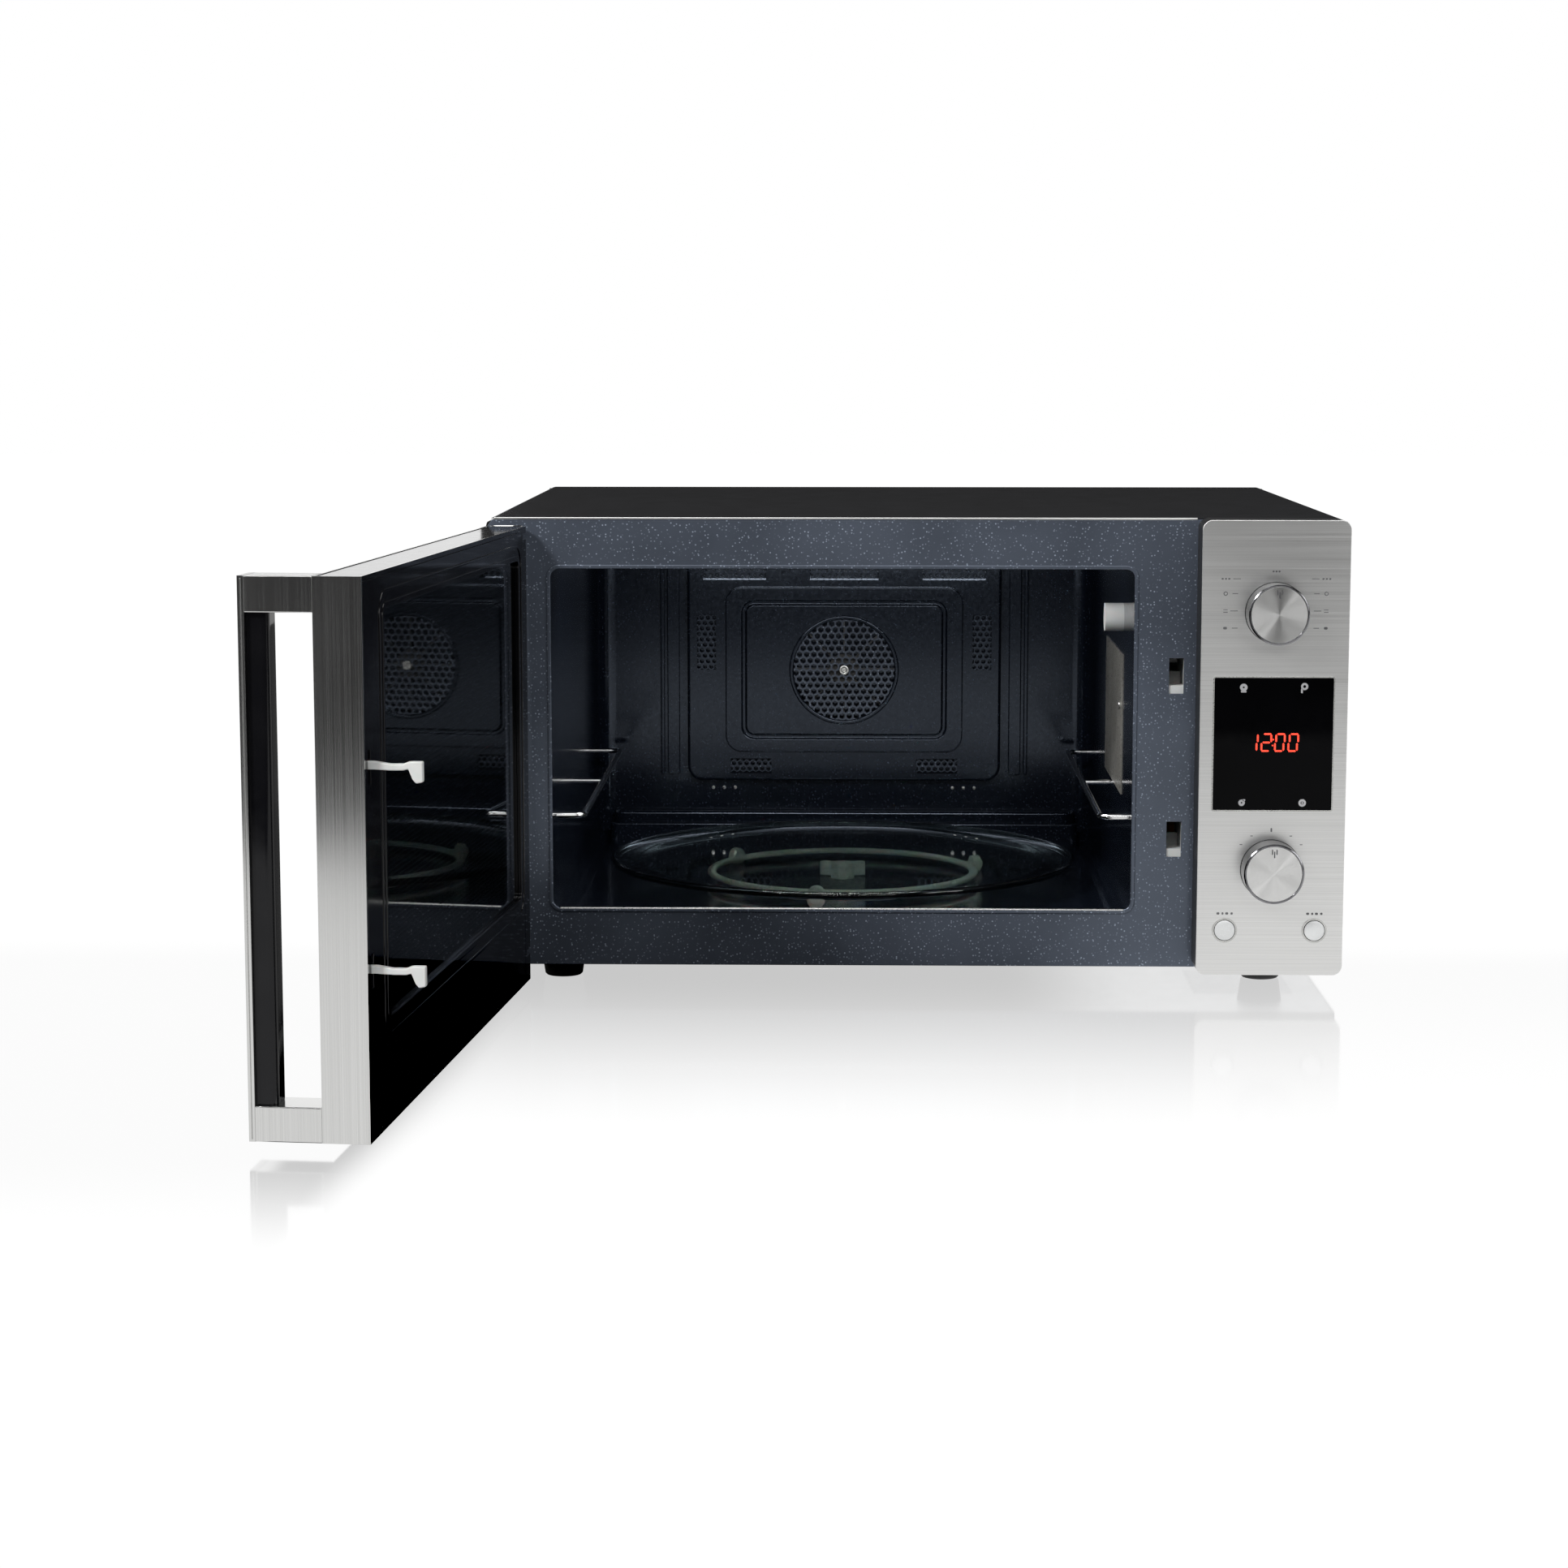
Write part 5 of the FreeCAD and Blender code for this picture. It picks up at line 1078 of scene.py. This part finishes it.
swing_open(cover)
hand_over(cover, gloss_black, "black_plastic", "inner_cover", body="door")

# %% [markdown]
# Behind the inner glass sits the screen that holds the microwaves in: a pressed pan with a field of
# small holes. The field is modelled as real perforations in two halves, to keep each mesh light.

# %% Window screen
pan_low, pan_high = closed_box("choke_plate")
screen_pan = block("screen_pan", pan_low, pan_high)
cut_away(screen_pan, block("dish", pan_low + Vector((0.8 * MM, 0.8 * MM, 0.8 * MM)),
                           pan_high + Vector((-0.8 * MM, MM, -0.8 * MM))))
screen_low, screen_high = window_low + Vector((2, 0, 2)) * MM, window_high - Vector((2, 0, 2)) * MM
cut_away(screen_pan, block("hole", (screen_low.x, pan_low.y - MM, screen_low.z),
                           (screen_high.x, pan_low.y + 2 * MM, screen_high.z)))
soften(screen_pan, 0.25 * MM, 2)
swing_open(screen_pan)
hand_over(screen_pan, satin_black, "mesh_sheet", "choke_plate", body="door")
screen_middle = (screen_low + screen_high) / 2
half_width = (screen_high.x - screen_low.x) / 2
for side, name in ((-1, "window_screen_1"), (1, "window_screen_2")):
    screen = perforated(name, (screen_middle.x + side * half_width / 2, pan_low.y + 0.5 * MM,
                               screen_middle.z), half_width + 1.5 * MM,
                        screen_high.z - screen_low.z + 3 * MM, 3.0 * MM, 1.1 * MM, 0.5 * MM)
    swing_open(screen)
    hand_over(screen, satin_black, "mesh_sheet", body="door")

# %% [markdown]
# ## The handle
# The handle is a flat stainless bar that runs the full height of the door, closed by a block at each
# end, with a gloss black grip behind it. The bar's edge has a fine groove between its two sheets.

# %% Handle
handle_low, handle_high = closed_box("door_handle")
grip_low, grip_high = closed_box("handle_grip")
BAR, BLOCK = 3.5 * MM, 18 * MM
bar = block("bar", handle_low + Vector((0, 0.2 * MM, 0)),
            (handle_high.x, handle_low.y + BAR, handle_high.z))
enter(bar)
pick_faces(bar, lambda middle, normal: abs(normal.x) > 0.99)
inset(1.35)
inset(0.2, -0.5)
leave()
soften(bar, 0.35 * MM, 2)
ends = [soften(block("end", (handle_low.x, handle_low.y + BAR - 0.2 * MM, low),
                     (handle_high.x, handle_high.y, low + BLOCK)), 0.6 * MM, 3)
        for low in (handle_low.z, handle_high.z - BLOCK)]
handle = swing_open(joined("handle_bar", [bar] + ends))
hand_over(handle, steel_upright, "brushed_stainless", "door_handle", body="door")
grip = block("grip", grip_low, grip_high)
round_edges(grip, lambda middle, way: abs(way.z) > 0.99 and middle.y > grip_high.y - MM, 4 * MM, 8)
soften(grip, 0.5 * MM, 2)
swing_open(grip)
hand_over(grip, gloss_black, "grip_plastic", "handle_grip", body="door")

# %% [markdown]
# ## The latch
# Two light grey hooks reach out of the door. Each arm starts at the bar inside, dips a little, and
# ends in a hammer-shaped head. The arm's end face is extruded step by step, moved and resized as it
# goes, the way a moulded lever is blocked out by hand.

# %% Latch hooks
tip = latch_high.y
HOOK_WIDTH = 4.5 * MM
bar_back = cover_low.y - 1.2 * MM
bar_piece = soften(block("latch", (latch_x - 4 * MM, bar_back - 8 * MM, latch_low.z),
                         (latch_x + 4 * MM, bar_back, latch_high.z)), 0.6 * MM, 2)
hooks = [bar_piece]
for low in HOOK_LOWS:
    arm_low = low + 7 * MM
    hook = block("hook", (latch_x - HOOK_WIDTH / 2, bar_back - MM, arm_low),
                 (latch_x + HOOK_WIDTH / 2, bar_back + 6 * MM, arm_low + 4 * MM))
    enter(hook)
    reach, level, height = bar_back + 6 * MM, arm_low + 2 * MM, 4 * MM
    steps = ((8.0, -0.8, 3.2), (6.5, 0.1, 3.2), (2.5, 0.9, 3.6), (2.2, -2.6, 9.0), (1.6, -0.9, 10.8))
    for forward, rise, tall in steps + ((tip / MM - reach / MM - 20.8, 0.3, 10.2),):
        pick_faces(hook, lambda middle, normal: normal.y > 0.5 and middle.y > reach - 0.3 * MM)
        bpy.ops.mesh.extrude_region_move(TRANSFORM_OT_translate={"value": (0, forward * MM, rise * MM)})
        reach, level = reach + forward * MM, level + rise * MM
        bpy.ops.transform.resize(value=(1, 1, tall * MM / height),
                                 center_override=(latch_x, reach, level))
        height = tall * MM
    leave()
    hooks.append(soften(hook, 0.7 * MM, 3, 20))
latch = swing_open(joined("latch_hooks", hooks))
hand_over(latch, grey_moulding, "latch_plastic", "latch_bar", body="latch")

# %% [markdown]
# ## The control panel
# The panel's face is one sheet of stainless steel with round corners. The window for the display and
# the holes for knobs and buttons are cut from it, and every edge is softened by half a millimetre.

# %% Panel face
CORNER = 6 * MM
face = plate("panel_face", panel_low, panel_high, "y", CORNER, 10)
pane_low, pane_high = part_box("display_window")
PANE_GAP = 0.2 * MM
openings = [plate("display_hole", (pane_low.x - PANE_GAP, panel_low.y - MM, pane_low.z - PANE_GAP),
                  (pane_high.x + PANE_GAP, panel_high.y + MM, pane_high.z + PANE_GAP), "y", MM, 4)]
controls = {}
for name in ("mode_knob", "dial_knob", "left_button", "right_button"):
    low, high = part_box(name)
    controls[name] = (low, high, Vector(((low.x + high.x) / 2, panel_low.y, (low.z + high.z) / 2)))
KNOB_HOLE, BUTTON_RADIUS = 3.6 * MM, 6.2 * MM
for name in controls:
    radius = KNOB_HOLE if name.endswith("knob") else BUTTON_RADIUS + 0.3 * MM
    openings.append(disc("hole", "y", controls[name][2] - Vector((0, MM, 0)), 4 * MM, radius, 48))
cut_away(face, *openings)
soften(face, 0.35 * MM, 3)
hand_over(face, lit_steel_across, "brushed_stainless", "panel_skin")

# %% [markdown]
# A polished bezel, half a millimetre wide, frames the display. Each button sits in a thin polished
# ring. Each knob sits in a dark shallow ring that is painted shade: it stands for the shadow in the gap
# under the knob.

# %% Bezel and rings
BEZEL = 0.9 * MM
bezel = ring_plate("display_bezel",
                   (pane_low.x - PANE_GAP - BEZEL + 0.3 * MM, panel_low.y - 0.25 * MM,
                    pane_low.z - PANE_GAP - BEZEL + 0.3 * MM),
                   (pane_high.x + PANE_GAP + BEZEL - 0.3 * MM, panel_low.y + 0.5 * MM,
                    pane_high.z + PANE_GAP + BEZEL - 0.3 * MM), "y", 1.6 * MM, BEZEL)
soften(bezel, 0.18 * MM, 2)
hand_over(bezel, plated_steel, "plated_steel")


def flat_ring(name, middle, inner, outer, low_y, high_y):
    thick = high_y - low_y
    ring = disc(name, "y", (middle.x, low_y, middle.z), thick, outer, 64)
    cut_away(ring, disc("bore", "y", (middle.x, low_y - MM, middle.z), thick + 2 * MM, inner, 64))
    return soften(ring, 0.12 * MM, 2)


for name in ("left_button", "right_button"):
    middle = controls[name][2]
    ring = flat_ring(name + "_ring", middle, BUTTON_RADIUS + 0.35 * MM, BUTTON_RADIUS + 1.5 * MM,
                     panel_low.y - 0.3 * MM, panel_low.y + 0.1 * MM)
    hand_over(ring, plated_steel, "plated_steel")
# Painted shade: a flat satin-black ring under each knob stands for the shadow in its gap.
for name in ("mode_knob", "dial_knob"):
    low, high, middle = controls[name]
    ring = flat_ring(name + "_shade_ring", middle, KNOB_HOLE + 0.4 * MM, (high.x - low.x) / 2 + 0.3 * MM,
                     panel_low.y - 0.12 * MM, panel_low.y + 0.05 * MM)
    hand_over(ring, satin_black, "carrier_plastic")

# %% [markdown]
# ## The knobs
# A knob is a cap with a dark polished side, a bright turned chamfer and a spun face. The cap and its
# chamfer are one disc whose front is inset and pushed; the face is a separate disc let into it, so
# that its tangent runs round its own centre. Three printed dashes near its edge show where it points.

# %% Knobs
dark_chrome = coated("dark_chrome", (0.16, 0.16, 0.17), (0.26, 0.26, 0.27), (0.12, 0.22), metallic=1.0)
pointer_ink = coated("pointer_ink", (0.04, 0.04, 0.045), (0.07, 0.07, 0.075), (0.45, 0.55))
for name in ("mode_knob", "dial_knob"):
    low, high, middle = controls[name]
    radius = (high.x - low.x) / 2
    back = panel_low.y - 0.6 * MM
    body = disc(name + "_body", "y", (middle.x, low.y + 0.5 * MM, middle.z), back - low.y - 0.5 * MM,
                radius, 96)
    enter(body)
    pick_faces(body, front_face)
    inset(0.8)
    bpy.ops.transform.translate(value=(0, -0.5 * MM, 0))
    inset(0.5)
    inset(0.15, -0.35)
    leave()
    stem = disc("stem", "y", (middle.x, back - 0.2 * MM, middle.z), high.y - back, 2.9 * MM, 32)
    soften(body, 0.12 * MM, 2)
    body = joined(name + "_body", [body, stem])
    hand_over(body, dark_chrome, "plated_steel", name, body=name)
    spun_face = disc(name + "_face", "y", (middle.x, low.y + 0.12 * MM, middle.z), 0.6 * MM,
                     radius - 1.5 * MM, 96)
    enter(spun_face)
    pick_faces(spun_face, front_face)
    bpy.ops.mesh.inset(thickness=(radius - 1.5 * MM) * 0.5)
    bpy.ops.transform.translate(value=(0, 0.04 * MM, 0))
    leave()
    soften(spun_face, 0.10 * MM, 2)
    hand_over(spun_face, spun_metal(name + "_spun", (middle.x, low.y, middle.z)), "spun_metal",
              body=name)
    marks = []
    for left, top, bottom in ((-1.7, 3.2, 6.4), (1.0, 3.2, 6.4), (-0.35, 4.4, 8.4)):
        low_corner = (middle.x + left * MM, low.y + 0.03 * MM, middle.z + radius - bottom * MM)
        high_corner = (middle.x + (left + 0.7) * MM, low.y + 0.3 * MM, middle.z + radius - top * MM)
        marks.append(soften(plate("mark", low_corner, high_corner, "y", 0.2 * MM, 3), 0.05 * MM, 1))
    hand_over(joined(name + "_pointer", marks), pointer_ink, "carrier_plastic", body=name)

# %% [markdown]
# The buttons are small domes: a disc whose front face is inset twice, each time drawn forward less.

# %% Buttons
for name in ("left_button", "right_button"):
    low, high, middle = controls[name]
    button = disc(name + "_cap", "y", (middle.x, low.y + 0.7 * MM, middle.z), 3.4 * MM, BUTTON_RADIUS,
                  64)
    enter(button)
    pick_faces(button, front_face)
    for border, rise in ((1.3, 0.45), (1.6, 0.18), (1.6, 0.05)):
        inset(border)
        bpy.ops.transform.translate(value=(0, -rise * MM, 0))
    leave()
    button = soften(button, 0.25 * MM, 3, 20)
    stem_start = low.y + 3 * MM
    stem = disc("stem", "y", (middle.x, stem_start, middle.z), high.y - stem_start, 2.5 * MM, 32)
    button = joined(name + "_cap", [button, stem])
    hand_over(button, button_moulding, "button_plastic", name, body=name)

# %% [markdown]
# ## Print and light
# The marks round the knobs are screen-printed, so they are almost flat: thin plates that stand a
# twentieth of a millimetre proud. They are plain ticks, dots and rings and spell nothing.

# %% Printed marks
INK = 0.05 * MM


def mark(middle, x, z, across, tall):
    """One printed dash; its size and its place from the middle are in millimetres."""
    spot, half = middle + Vector((x, 0, z)) * MM, Vector((across / 2 * MM, INK, tall / 2 * MM))
    return plate("mark", spot - half, spot + half, "y", min(across, tall) * 0.3 * MM, 2)


def ring_mark(middle, x, z, inner, outer):
    spot = middle + Vector((x, 0, z)) * MM
    ring = disc("mark", "y", spot - Vector((0, INK, 0)), 2 * INK, outer * MM, 32)
    return cut_away(ring, disc("bore", "y", spot - Vector((0, MM, 0)), 2 * MM, inner * MM, 32))


top_knob, low_knob = controls["mode_knob"][2], controls["dial_knob"][2]
TICK_HEIGHTS, SYMBOL_REACH, DIAL_REACH = (20.5, 11.5, 1.0, -9.5), 30.5, 24
prints = []
for side in (-1, 1):
    for number, rise in enumerate(TICK_HEIGHTS):
        start, long = 21.5 if number == 0 else 23.0, 3.4 if number % 2 else 4.6
        prints.append(mark(top_knob, side * (start + long / 2), rise, long, 0.35))
        out = side * SYMBOL_REACH
        if number == 0:
            prints += [mark(top_knob, out + step, rise, 1.3, 1.0) for step in (-2, 0, 2)]
        elif number == 1:
            prints.append(ring_mark(top_knob, out, rise, 0.8, 1.3))
        elif number == 2:
            prints += [mark(top_knob, out, rise + step, 2.8, 0.4) for step in (-0.8, 0.6)]
        else:
            prints.append(mark(top_knob, out, rise, 2.2, 1.6))
prints += [mark(top_knob, step, 25, 1.2, 1.1) for step in (-1.8, 0, 1.8)]
prints.append(mark(low_knob, 0, DIAL_REACH + 0.5, 1.0, 2.4))
for angle in (40, 60, 120, 140):
    turn = math.radians(angle)
    prints.append(mark(low_knob, DIAL_REACH * math.cos(turn), DIAL_REACH * math.sin(turn), 1.6, 0.5))
for name in ("left_button", "right_button"):
    prints += [mark(controls[name][2], step, 10.5, wide, 1.4)
               for step, wide in ((-4.2, 1.8), (-1.4, 1.2), (1.2, 1.8), (4.2, 1.4))]
print_ink = coated("print_ink", (0.08, 0.08, 0.085), (0.13, 0.13, 0.135), (0.5, 0.6))
hand_over(joined("panel_print", prints), print_ink, "carrier_plastic")

# %% [markdown]
# The clock is a seven-segment display behind the dark pane. Each segment is a flat bar with pointed
# ends, leaning a little to the right, and it gives off red light. Twelve o'clock is the plain
# message of a clock that nobody has set.

# %% Clock
SEGMENT, THICK, LEAN = 5.2 * MM, 1.15 * MM, 0.14
DIGIT_STEP = 8.2 * MM
SEGMENTS = {"top": (0, 2), "upper_left": (-1, 1), "upper_right": (1, 1), "middle": (0, 0),
            "lower_left": (-1, -1), "lower_right": (1, -1), "bottom": (0, -2)}
SHAPES = {"1": ("upper_right", "lower_right"),
          "2": ("top", "upper_right", "middle", "lower_left", "bottom"),
          "0": ("top", "upper_left", "upper_right", "lower_left", "lower_right", "bottom")}
clock_middle = Vector(((pane_low.x + pane_high.x) / 2, pane_low.y,
                       (pane_low.z + pane_high.z) / 2 + MM))
on_glass = Vector((0, 0.02 * MM, 0))


def segment(x, z, flat):
    """A bar with pointed ends: a hexagonal plate, flat or upright."""
    long, short = (SEGMENT / 2 - 0.25 * MM, THICK / 2)
    half = Vector((long, 0.02 * MM, short)) if flat else Vector((short, 0.02 * MM, long))
    middle = Vector((x, pane_low.y - 0.01 * MM, z))
    bar = block("segment", middle - half, middle + half)
    round_edges(bar, lambda spot, way: abs(way.y) > 0.99, THICK * 0.42, 1)
    return bar


bars = []
for place, digit in enumerate("1200"):
    for name in SHAPES[digit]:
        column, row = SEGMENTS[name]
        z = clock_middle.z + row * SEGMENT / 2
        x = clock_middle.x + (place - 1.5) * DIGIT_STEP + column * SEGMENT / 2
        bars.append(segment(x + (z - clock_middle.z) * LEAN, z, column == 0))
for step in (-1, 1):
    bars.append(mark(clock_middle + on_glass, step * 1.6 * LEAN - 0.1, step * 1.8, 0.9, 0.9))
red_light = new_finish("red_light", (0.35, 0.01, 0.005), 0.4, Emission_Strength=1.25)
flicker = grain(red_light, (900, 900, 900))
link(red_light, colours(red_light, flicker, (0.3, (0.95, 0.05, 0.02)), (0.7, (1.0, 0.10, 0.05))),
     shader_of(red_light).inputs["Emission Color"])
link(red_light, between(red_light, flicker, 0.35, 0.45), shader_of(red_light).inputs["Roughness"])
bumped(red_light, flicker, 0.00001, 0.3)
hand_over(joined("clock_digits", bars), red_light, "black_glass")

# %% [markdown]
# Four small grey touch symbols sit near the pane's corners, each a ring with or without a dash. They
# are thin plates on the glass, listed in a table by corner, kind and size.

# %% Touch symbols
SYMBOL_OUT = 18.5 * MM
high_z, low_z = pane_high.z - 6.0 * MM, pane_low.z + 4.6 * MM
symbols = []
for side, level, draw, *numbers in ((-1, high_z, ring_mark, 0, 0, 0.6, 2.3),
                                    (-1, high_z, mark, 0, -2.6, 3.4, 1.0),
                                    (1, high_z, ring_mark, 0, 0.6, 0.9, 2.2),
                                    (1, high_z, mark, -1.6, -2.0, 1.2, 2.8),
                                    (-1, low_z, ring_mark, 0, 0, 0.5, 2.0),
                                    (-1, low_z, mark, 1.4, 1.6, 1.6, 1.2),
                                    (1, low_z, ring_mark, 0, 0, 1.0, 2.3),
                                    (1, low_z, mark, 0, 0, 0.8, 1.6)):
    spot = Vector((clock_middle.x + side * SYMBOL_OUT, pane_low.y, level)) + on_glass
    symbols.append(draw(spot, *numbers))
symbol_ink = coated("symbol_ink", (0.30, 0.30, 0.31), (0.42, 0.42, 0.43), (0.45, 0.55))
hand_over(joined("touch_symbols", symbols), symbol_ink, "black_glass")

# %% [markdown]
# ## Small fittings
# The screws at the back get cross recesses: a disc with a softened rim, from which two thin blocks
# are cut. The screws of the engineering model are one mesh, so its islands give the places.

# %% Screws
def cross_screw(name, start, radius, head):
    """A pan-head screw that faces the back, with a cross recess."""
    piece = soften(disc(name, "y", start, head, radius, 32), head * 0.35, 3)
    middle = Vector(start) + Vector((0, head, 0))
    arm, thin, deep = radius * 0.62, radius * 0.14, head * 0.5
    cuts = [block("recess", middle - half, middle + half)
            for half in (Vector((thin, deep, arm)), Vector((arm, deep, thin)))]
    return smooth(cut_away(piece, *cuts))


screw_nodes = bmesh.new()
screw_nodes.from_mesh(frame["nodes"]["cover_screws"].data)
bmesh.ops.remove_doubles(screw_nodes, verts=screw_nodes.verts, dist=1e-6)
islands, seen = [], set()
for vertex in screw_nodes.verts:
    if vertex in seen:
        continue
    island, open_list = [], [vertex]
    seen.add(vertex)
    while open_list:
        here = open_list.pop()
        island.append(here.co.copy())
        for edge in here.link_edges:
            other = edge.other_vert(here)
            if other not in seen:
                seen.add(other)
                open_list.append(other)
    islands.append(island)
screw_nodes.free()
screws = []
for island in islands:
    low = Vector([min(spot[place] for spot in island) for place in range(3)])
    high = Vector([max(spot[place] for spot in island) for place in range(3)])
    middle = (low + high) / 2
    head_start, shank_end = high.y - 1.8 * MM, high.y - 1.6 * MM
    screws.append(cross_screw("screw", (middle.x, head_start, middle.z), (high.x - low.x) / 2,
                              1.75 * MM))
    screws.append(disc("shank", "y", (middle.x, low.y, middle.z), shank_end - low.y, 1.9 * MM, 24))
hand_over(joined("rear_screws", screws), plated_steel, "plated_steel", "cover_screws")

# %% [markdown]
# A rivet holds the mica sheet to the cavity's wall. It is a low disc with a rounded rim.

# %% Mica rivet
mica_low, mica_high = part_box("waveguide_cover")
rivet = disc("mica_rivet", "x", (mica_low.x - 1.2 * MM, mica_low.y + 12 * MM, mica_high.z - 34 * MM),
             1.4 * MM, 2.6 * MM, 32)
soften(rivet, 0.5 * MM, 3)
hand_over(rivet, plated_steel, "plated_steel")

# %% [markdown]
# ## The stage
# The oven stands on a white, slightly glossy table in a white room. The table gives off its own white,
# and a part of what is seen in it is a soft mirror image, so the oven's reflection shows and fades
# with its distance from the oven. Polished pieces must not see white everywhere: for them a dark cloth
# lies on the table in front of the cavity, and the table ends ahead of the oven.

# %% Floor
FLOOR_FRONT, FLOOR_BACK, FLOOR_SIDE = -1.58, 9.0, 7.0
MIRROR = 0.42
deselect()
bpy.ops.mesh.primitive_plane_add(size=1, location=(0, (FLOOR_FRONT + FLOOR_BACK) / 2, -0.0004))
floor = bpy.context.object
floor.scale = (2 * FLOOR_SIDE, FLOOR_BACK - FLOOR_FRONT, 1)
floor.name = floor.data.name = "floor"
settle(floor)
table_white = bpy.data.materials.new("table_white")
table_white.use_nodes = True
tree = table_white.node_tree
tree.nodes.remove(shader_of(table_white))


def ramp_along(source, start, end, low=0.0, high=1.0):
    """A soft ramp from low to high while a coordinate on the table goes from start to end."""
    return mapped(table_white, source, start, end, low, high, interpolation_type="SMOOTHSTEP")


def of_table(operation, first, second):
    return combined(table_white, operation, first, second)


spot = node(table_white, "ShaderNodeSeparateXYZ")
link(table_white, node(table_white, "ShaderNodeTexCoord").outputs["Object"], spot.inputs["Vector"])
across, along = spot.outputs["X"], spot.outputs["Y"]
CLOTH_LEFT, CLOTH_RIGHT, CLOTH_FRONT = (-0.335, -0.325), (0.06, 0.16), (-0.652, -0.642)
SEEN, GIVEN = 1.02, 0.92
cloth = of_table("MULTIPLY", ramp_along(across, *CLOTH_LEFT),
                 ramp_along(across, *CLOTH_RIGHT, 1.0, 0.0))
cloth = of_table("MULTIPLY", cloth, ramp_along(along, *CLOTH_FRONT))
rays = node(table_white, "ShaderNodeLightPath")
strength = node(table_white, "ShaderNodeMix")
link(table_white, rays.outputs["Is Camera Ray"], strength.inputs["Factor"])
link(table_white, of_table("SUBTRACT", GIVEN, cloth), strength.inputs[2])
strength.inputs[3].default_value = SEEN
glow = node(table_white, "ShaderNodeEmission")
link(table_white, strength.outputs[0], glow.inputs["Strength"])
mirror = node(table_white, "ShaderNodeBsdfGlossy", Roughness=0.09)
DOOR_SIDE = (-0.30, -0.24)
share = of_table("MULTIPLY", ramp_along(along, 0.0, -0.14, 0.0, MIRROR), rays.outputs["Is Camera Ray"])
foremost = ramp_along(across, *DOOR_SIDE, -0.63, -0.16)
fade = ramp_along(across, *DOOR_SIDE, 0.20, 0.46)
ahead = of_table("DIVIDE", of_table("SUBTRACT", foremost, along), fade)
share = of_table("MULTIPLY", share, ramp_along(ahead, 1.0, 0.0))
blend = node(table_white, "ShaderNodeMixShader")
link(table_white, share, blend.inputs["Fac"])
link(table_white, glow.outputs["Emission"], blend.inputs[1])
link(table_white, mirror.outputs["BSDF"], blend.inputs[2])
link(table_white, blend.outputs["Shader"], tree.nodes["Material Output"].inputs["Surface"])
floor.data.materials.append(table_white)

# %% [markdown]
# Two white cards stand on the table behind the oven, no taller than it is: the table mirrors them and
# stays white, and the cover, which lies higher, mirrors the dark room above them.

# %% White cards
card_white = bpy.data.materials.new("card_white")
card_white.use_nodes = True
card_glow = node(card_white, "ShaderNodeEmission", Strength=1.12)
card_end = card_white.node_tree.nodes["Material Output"]
link(card_white, card_glow.outputs["Emission"], card_end.inputs["Surface"])
card_white.node_tree.nodes.remove(shader_of(card_white))
CARD_BACK = 0.60
for name, left, right, tall in (("card_low", -0.36, 2.0, 0.288), ("card_tall", -2.0, -0.36, 0.50)):
    card = block(name, (left, CARD_BACK, 0.0), (right, CARD_BACK + 2 * MM, tall))
    card.data.materials.append(card_white)
    card.visible_camera = card.visible_diffuse = card.visible_shadow = False

# %% [markdown]
# The light comes from soft boxes: a large one overhead, one on each side, one in front, high up, and a
# small strong one to the upper left, which slants the wedges of light on the knobs. A narrow one under
# the cavity's ceiling draws the edges of the pressings and of the glass. The room is almost dark to
# polished metal, and white to the lens.

# %% Lights and world
def soft_box(name, place, target, size, power):
    direction = Vector(target) - Vector(place)
    deselect()
    bpy.ops.object.light_add(type="AREA", location=place,
                             rotation=direction.to_track_quat("-Z", "Y").to_euler())
    lamp = bpy.context.object
    lamp.name = name
    lamp.data.shape = "RECTANGLE"
    lamp.data.size, lamp.data.size_y = size
    lamp.data.energy = power


soft_box("overhead", (0.1, -0.3, 2.2), (0, -0.1, 0), (2.2, 1.4), 30)
soft_box("left_side", (-2.2, -1.0, 1.0), (-0.1, -0.2, 0.15), (1.2, 1.4), 17)
soft_box("right_side", (2.0, -1.5, 0.9), (0.1, -0.1, 0.15), (1.2, 1.2), 15)
soft_box("front", (0.4, -3.2, 1.7), (0.1, -0.2, 0.15), (2.2, 0.9), 21)
soft_box("upper_left", (-1.5, -1.9, 1.75), (0.22, -0.2, 0.15), (0.4, 0.4), 44)
soft_box("in_the_cavity", (-0.045, -0.16, 0.256), (-0.045, 0.02, 0.06), (0.26, 0.03), 0.6)
world = bpy.data.worlds.new("studio")
bpy.context.scene.world = world
world.use_nodes = True


class Sky:
    """Lets the helpers for materials work on the world's node tree."""
    node_tree = world.node_tree


ROOM = 0.03
shade = combined(Sky, "MAXIMUM", node(Sky, "ShaderNodeLightPath").outputs["Is Camera Ray"], ROOM)
link(Sky, shade, Sky.node_tree.nodes["Background"].inputs["Color"])
print("stage set")
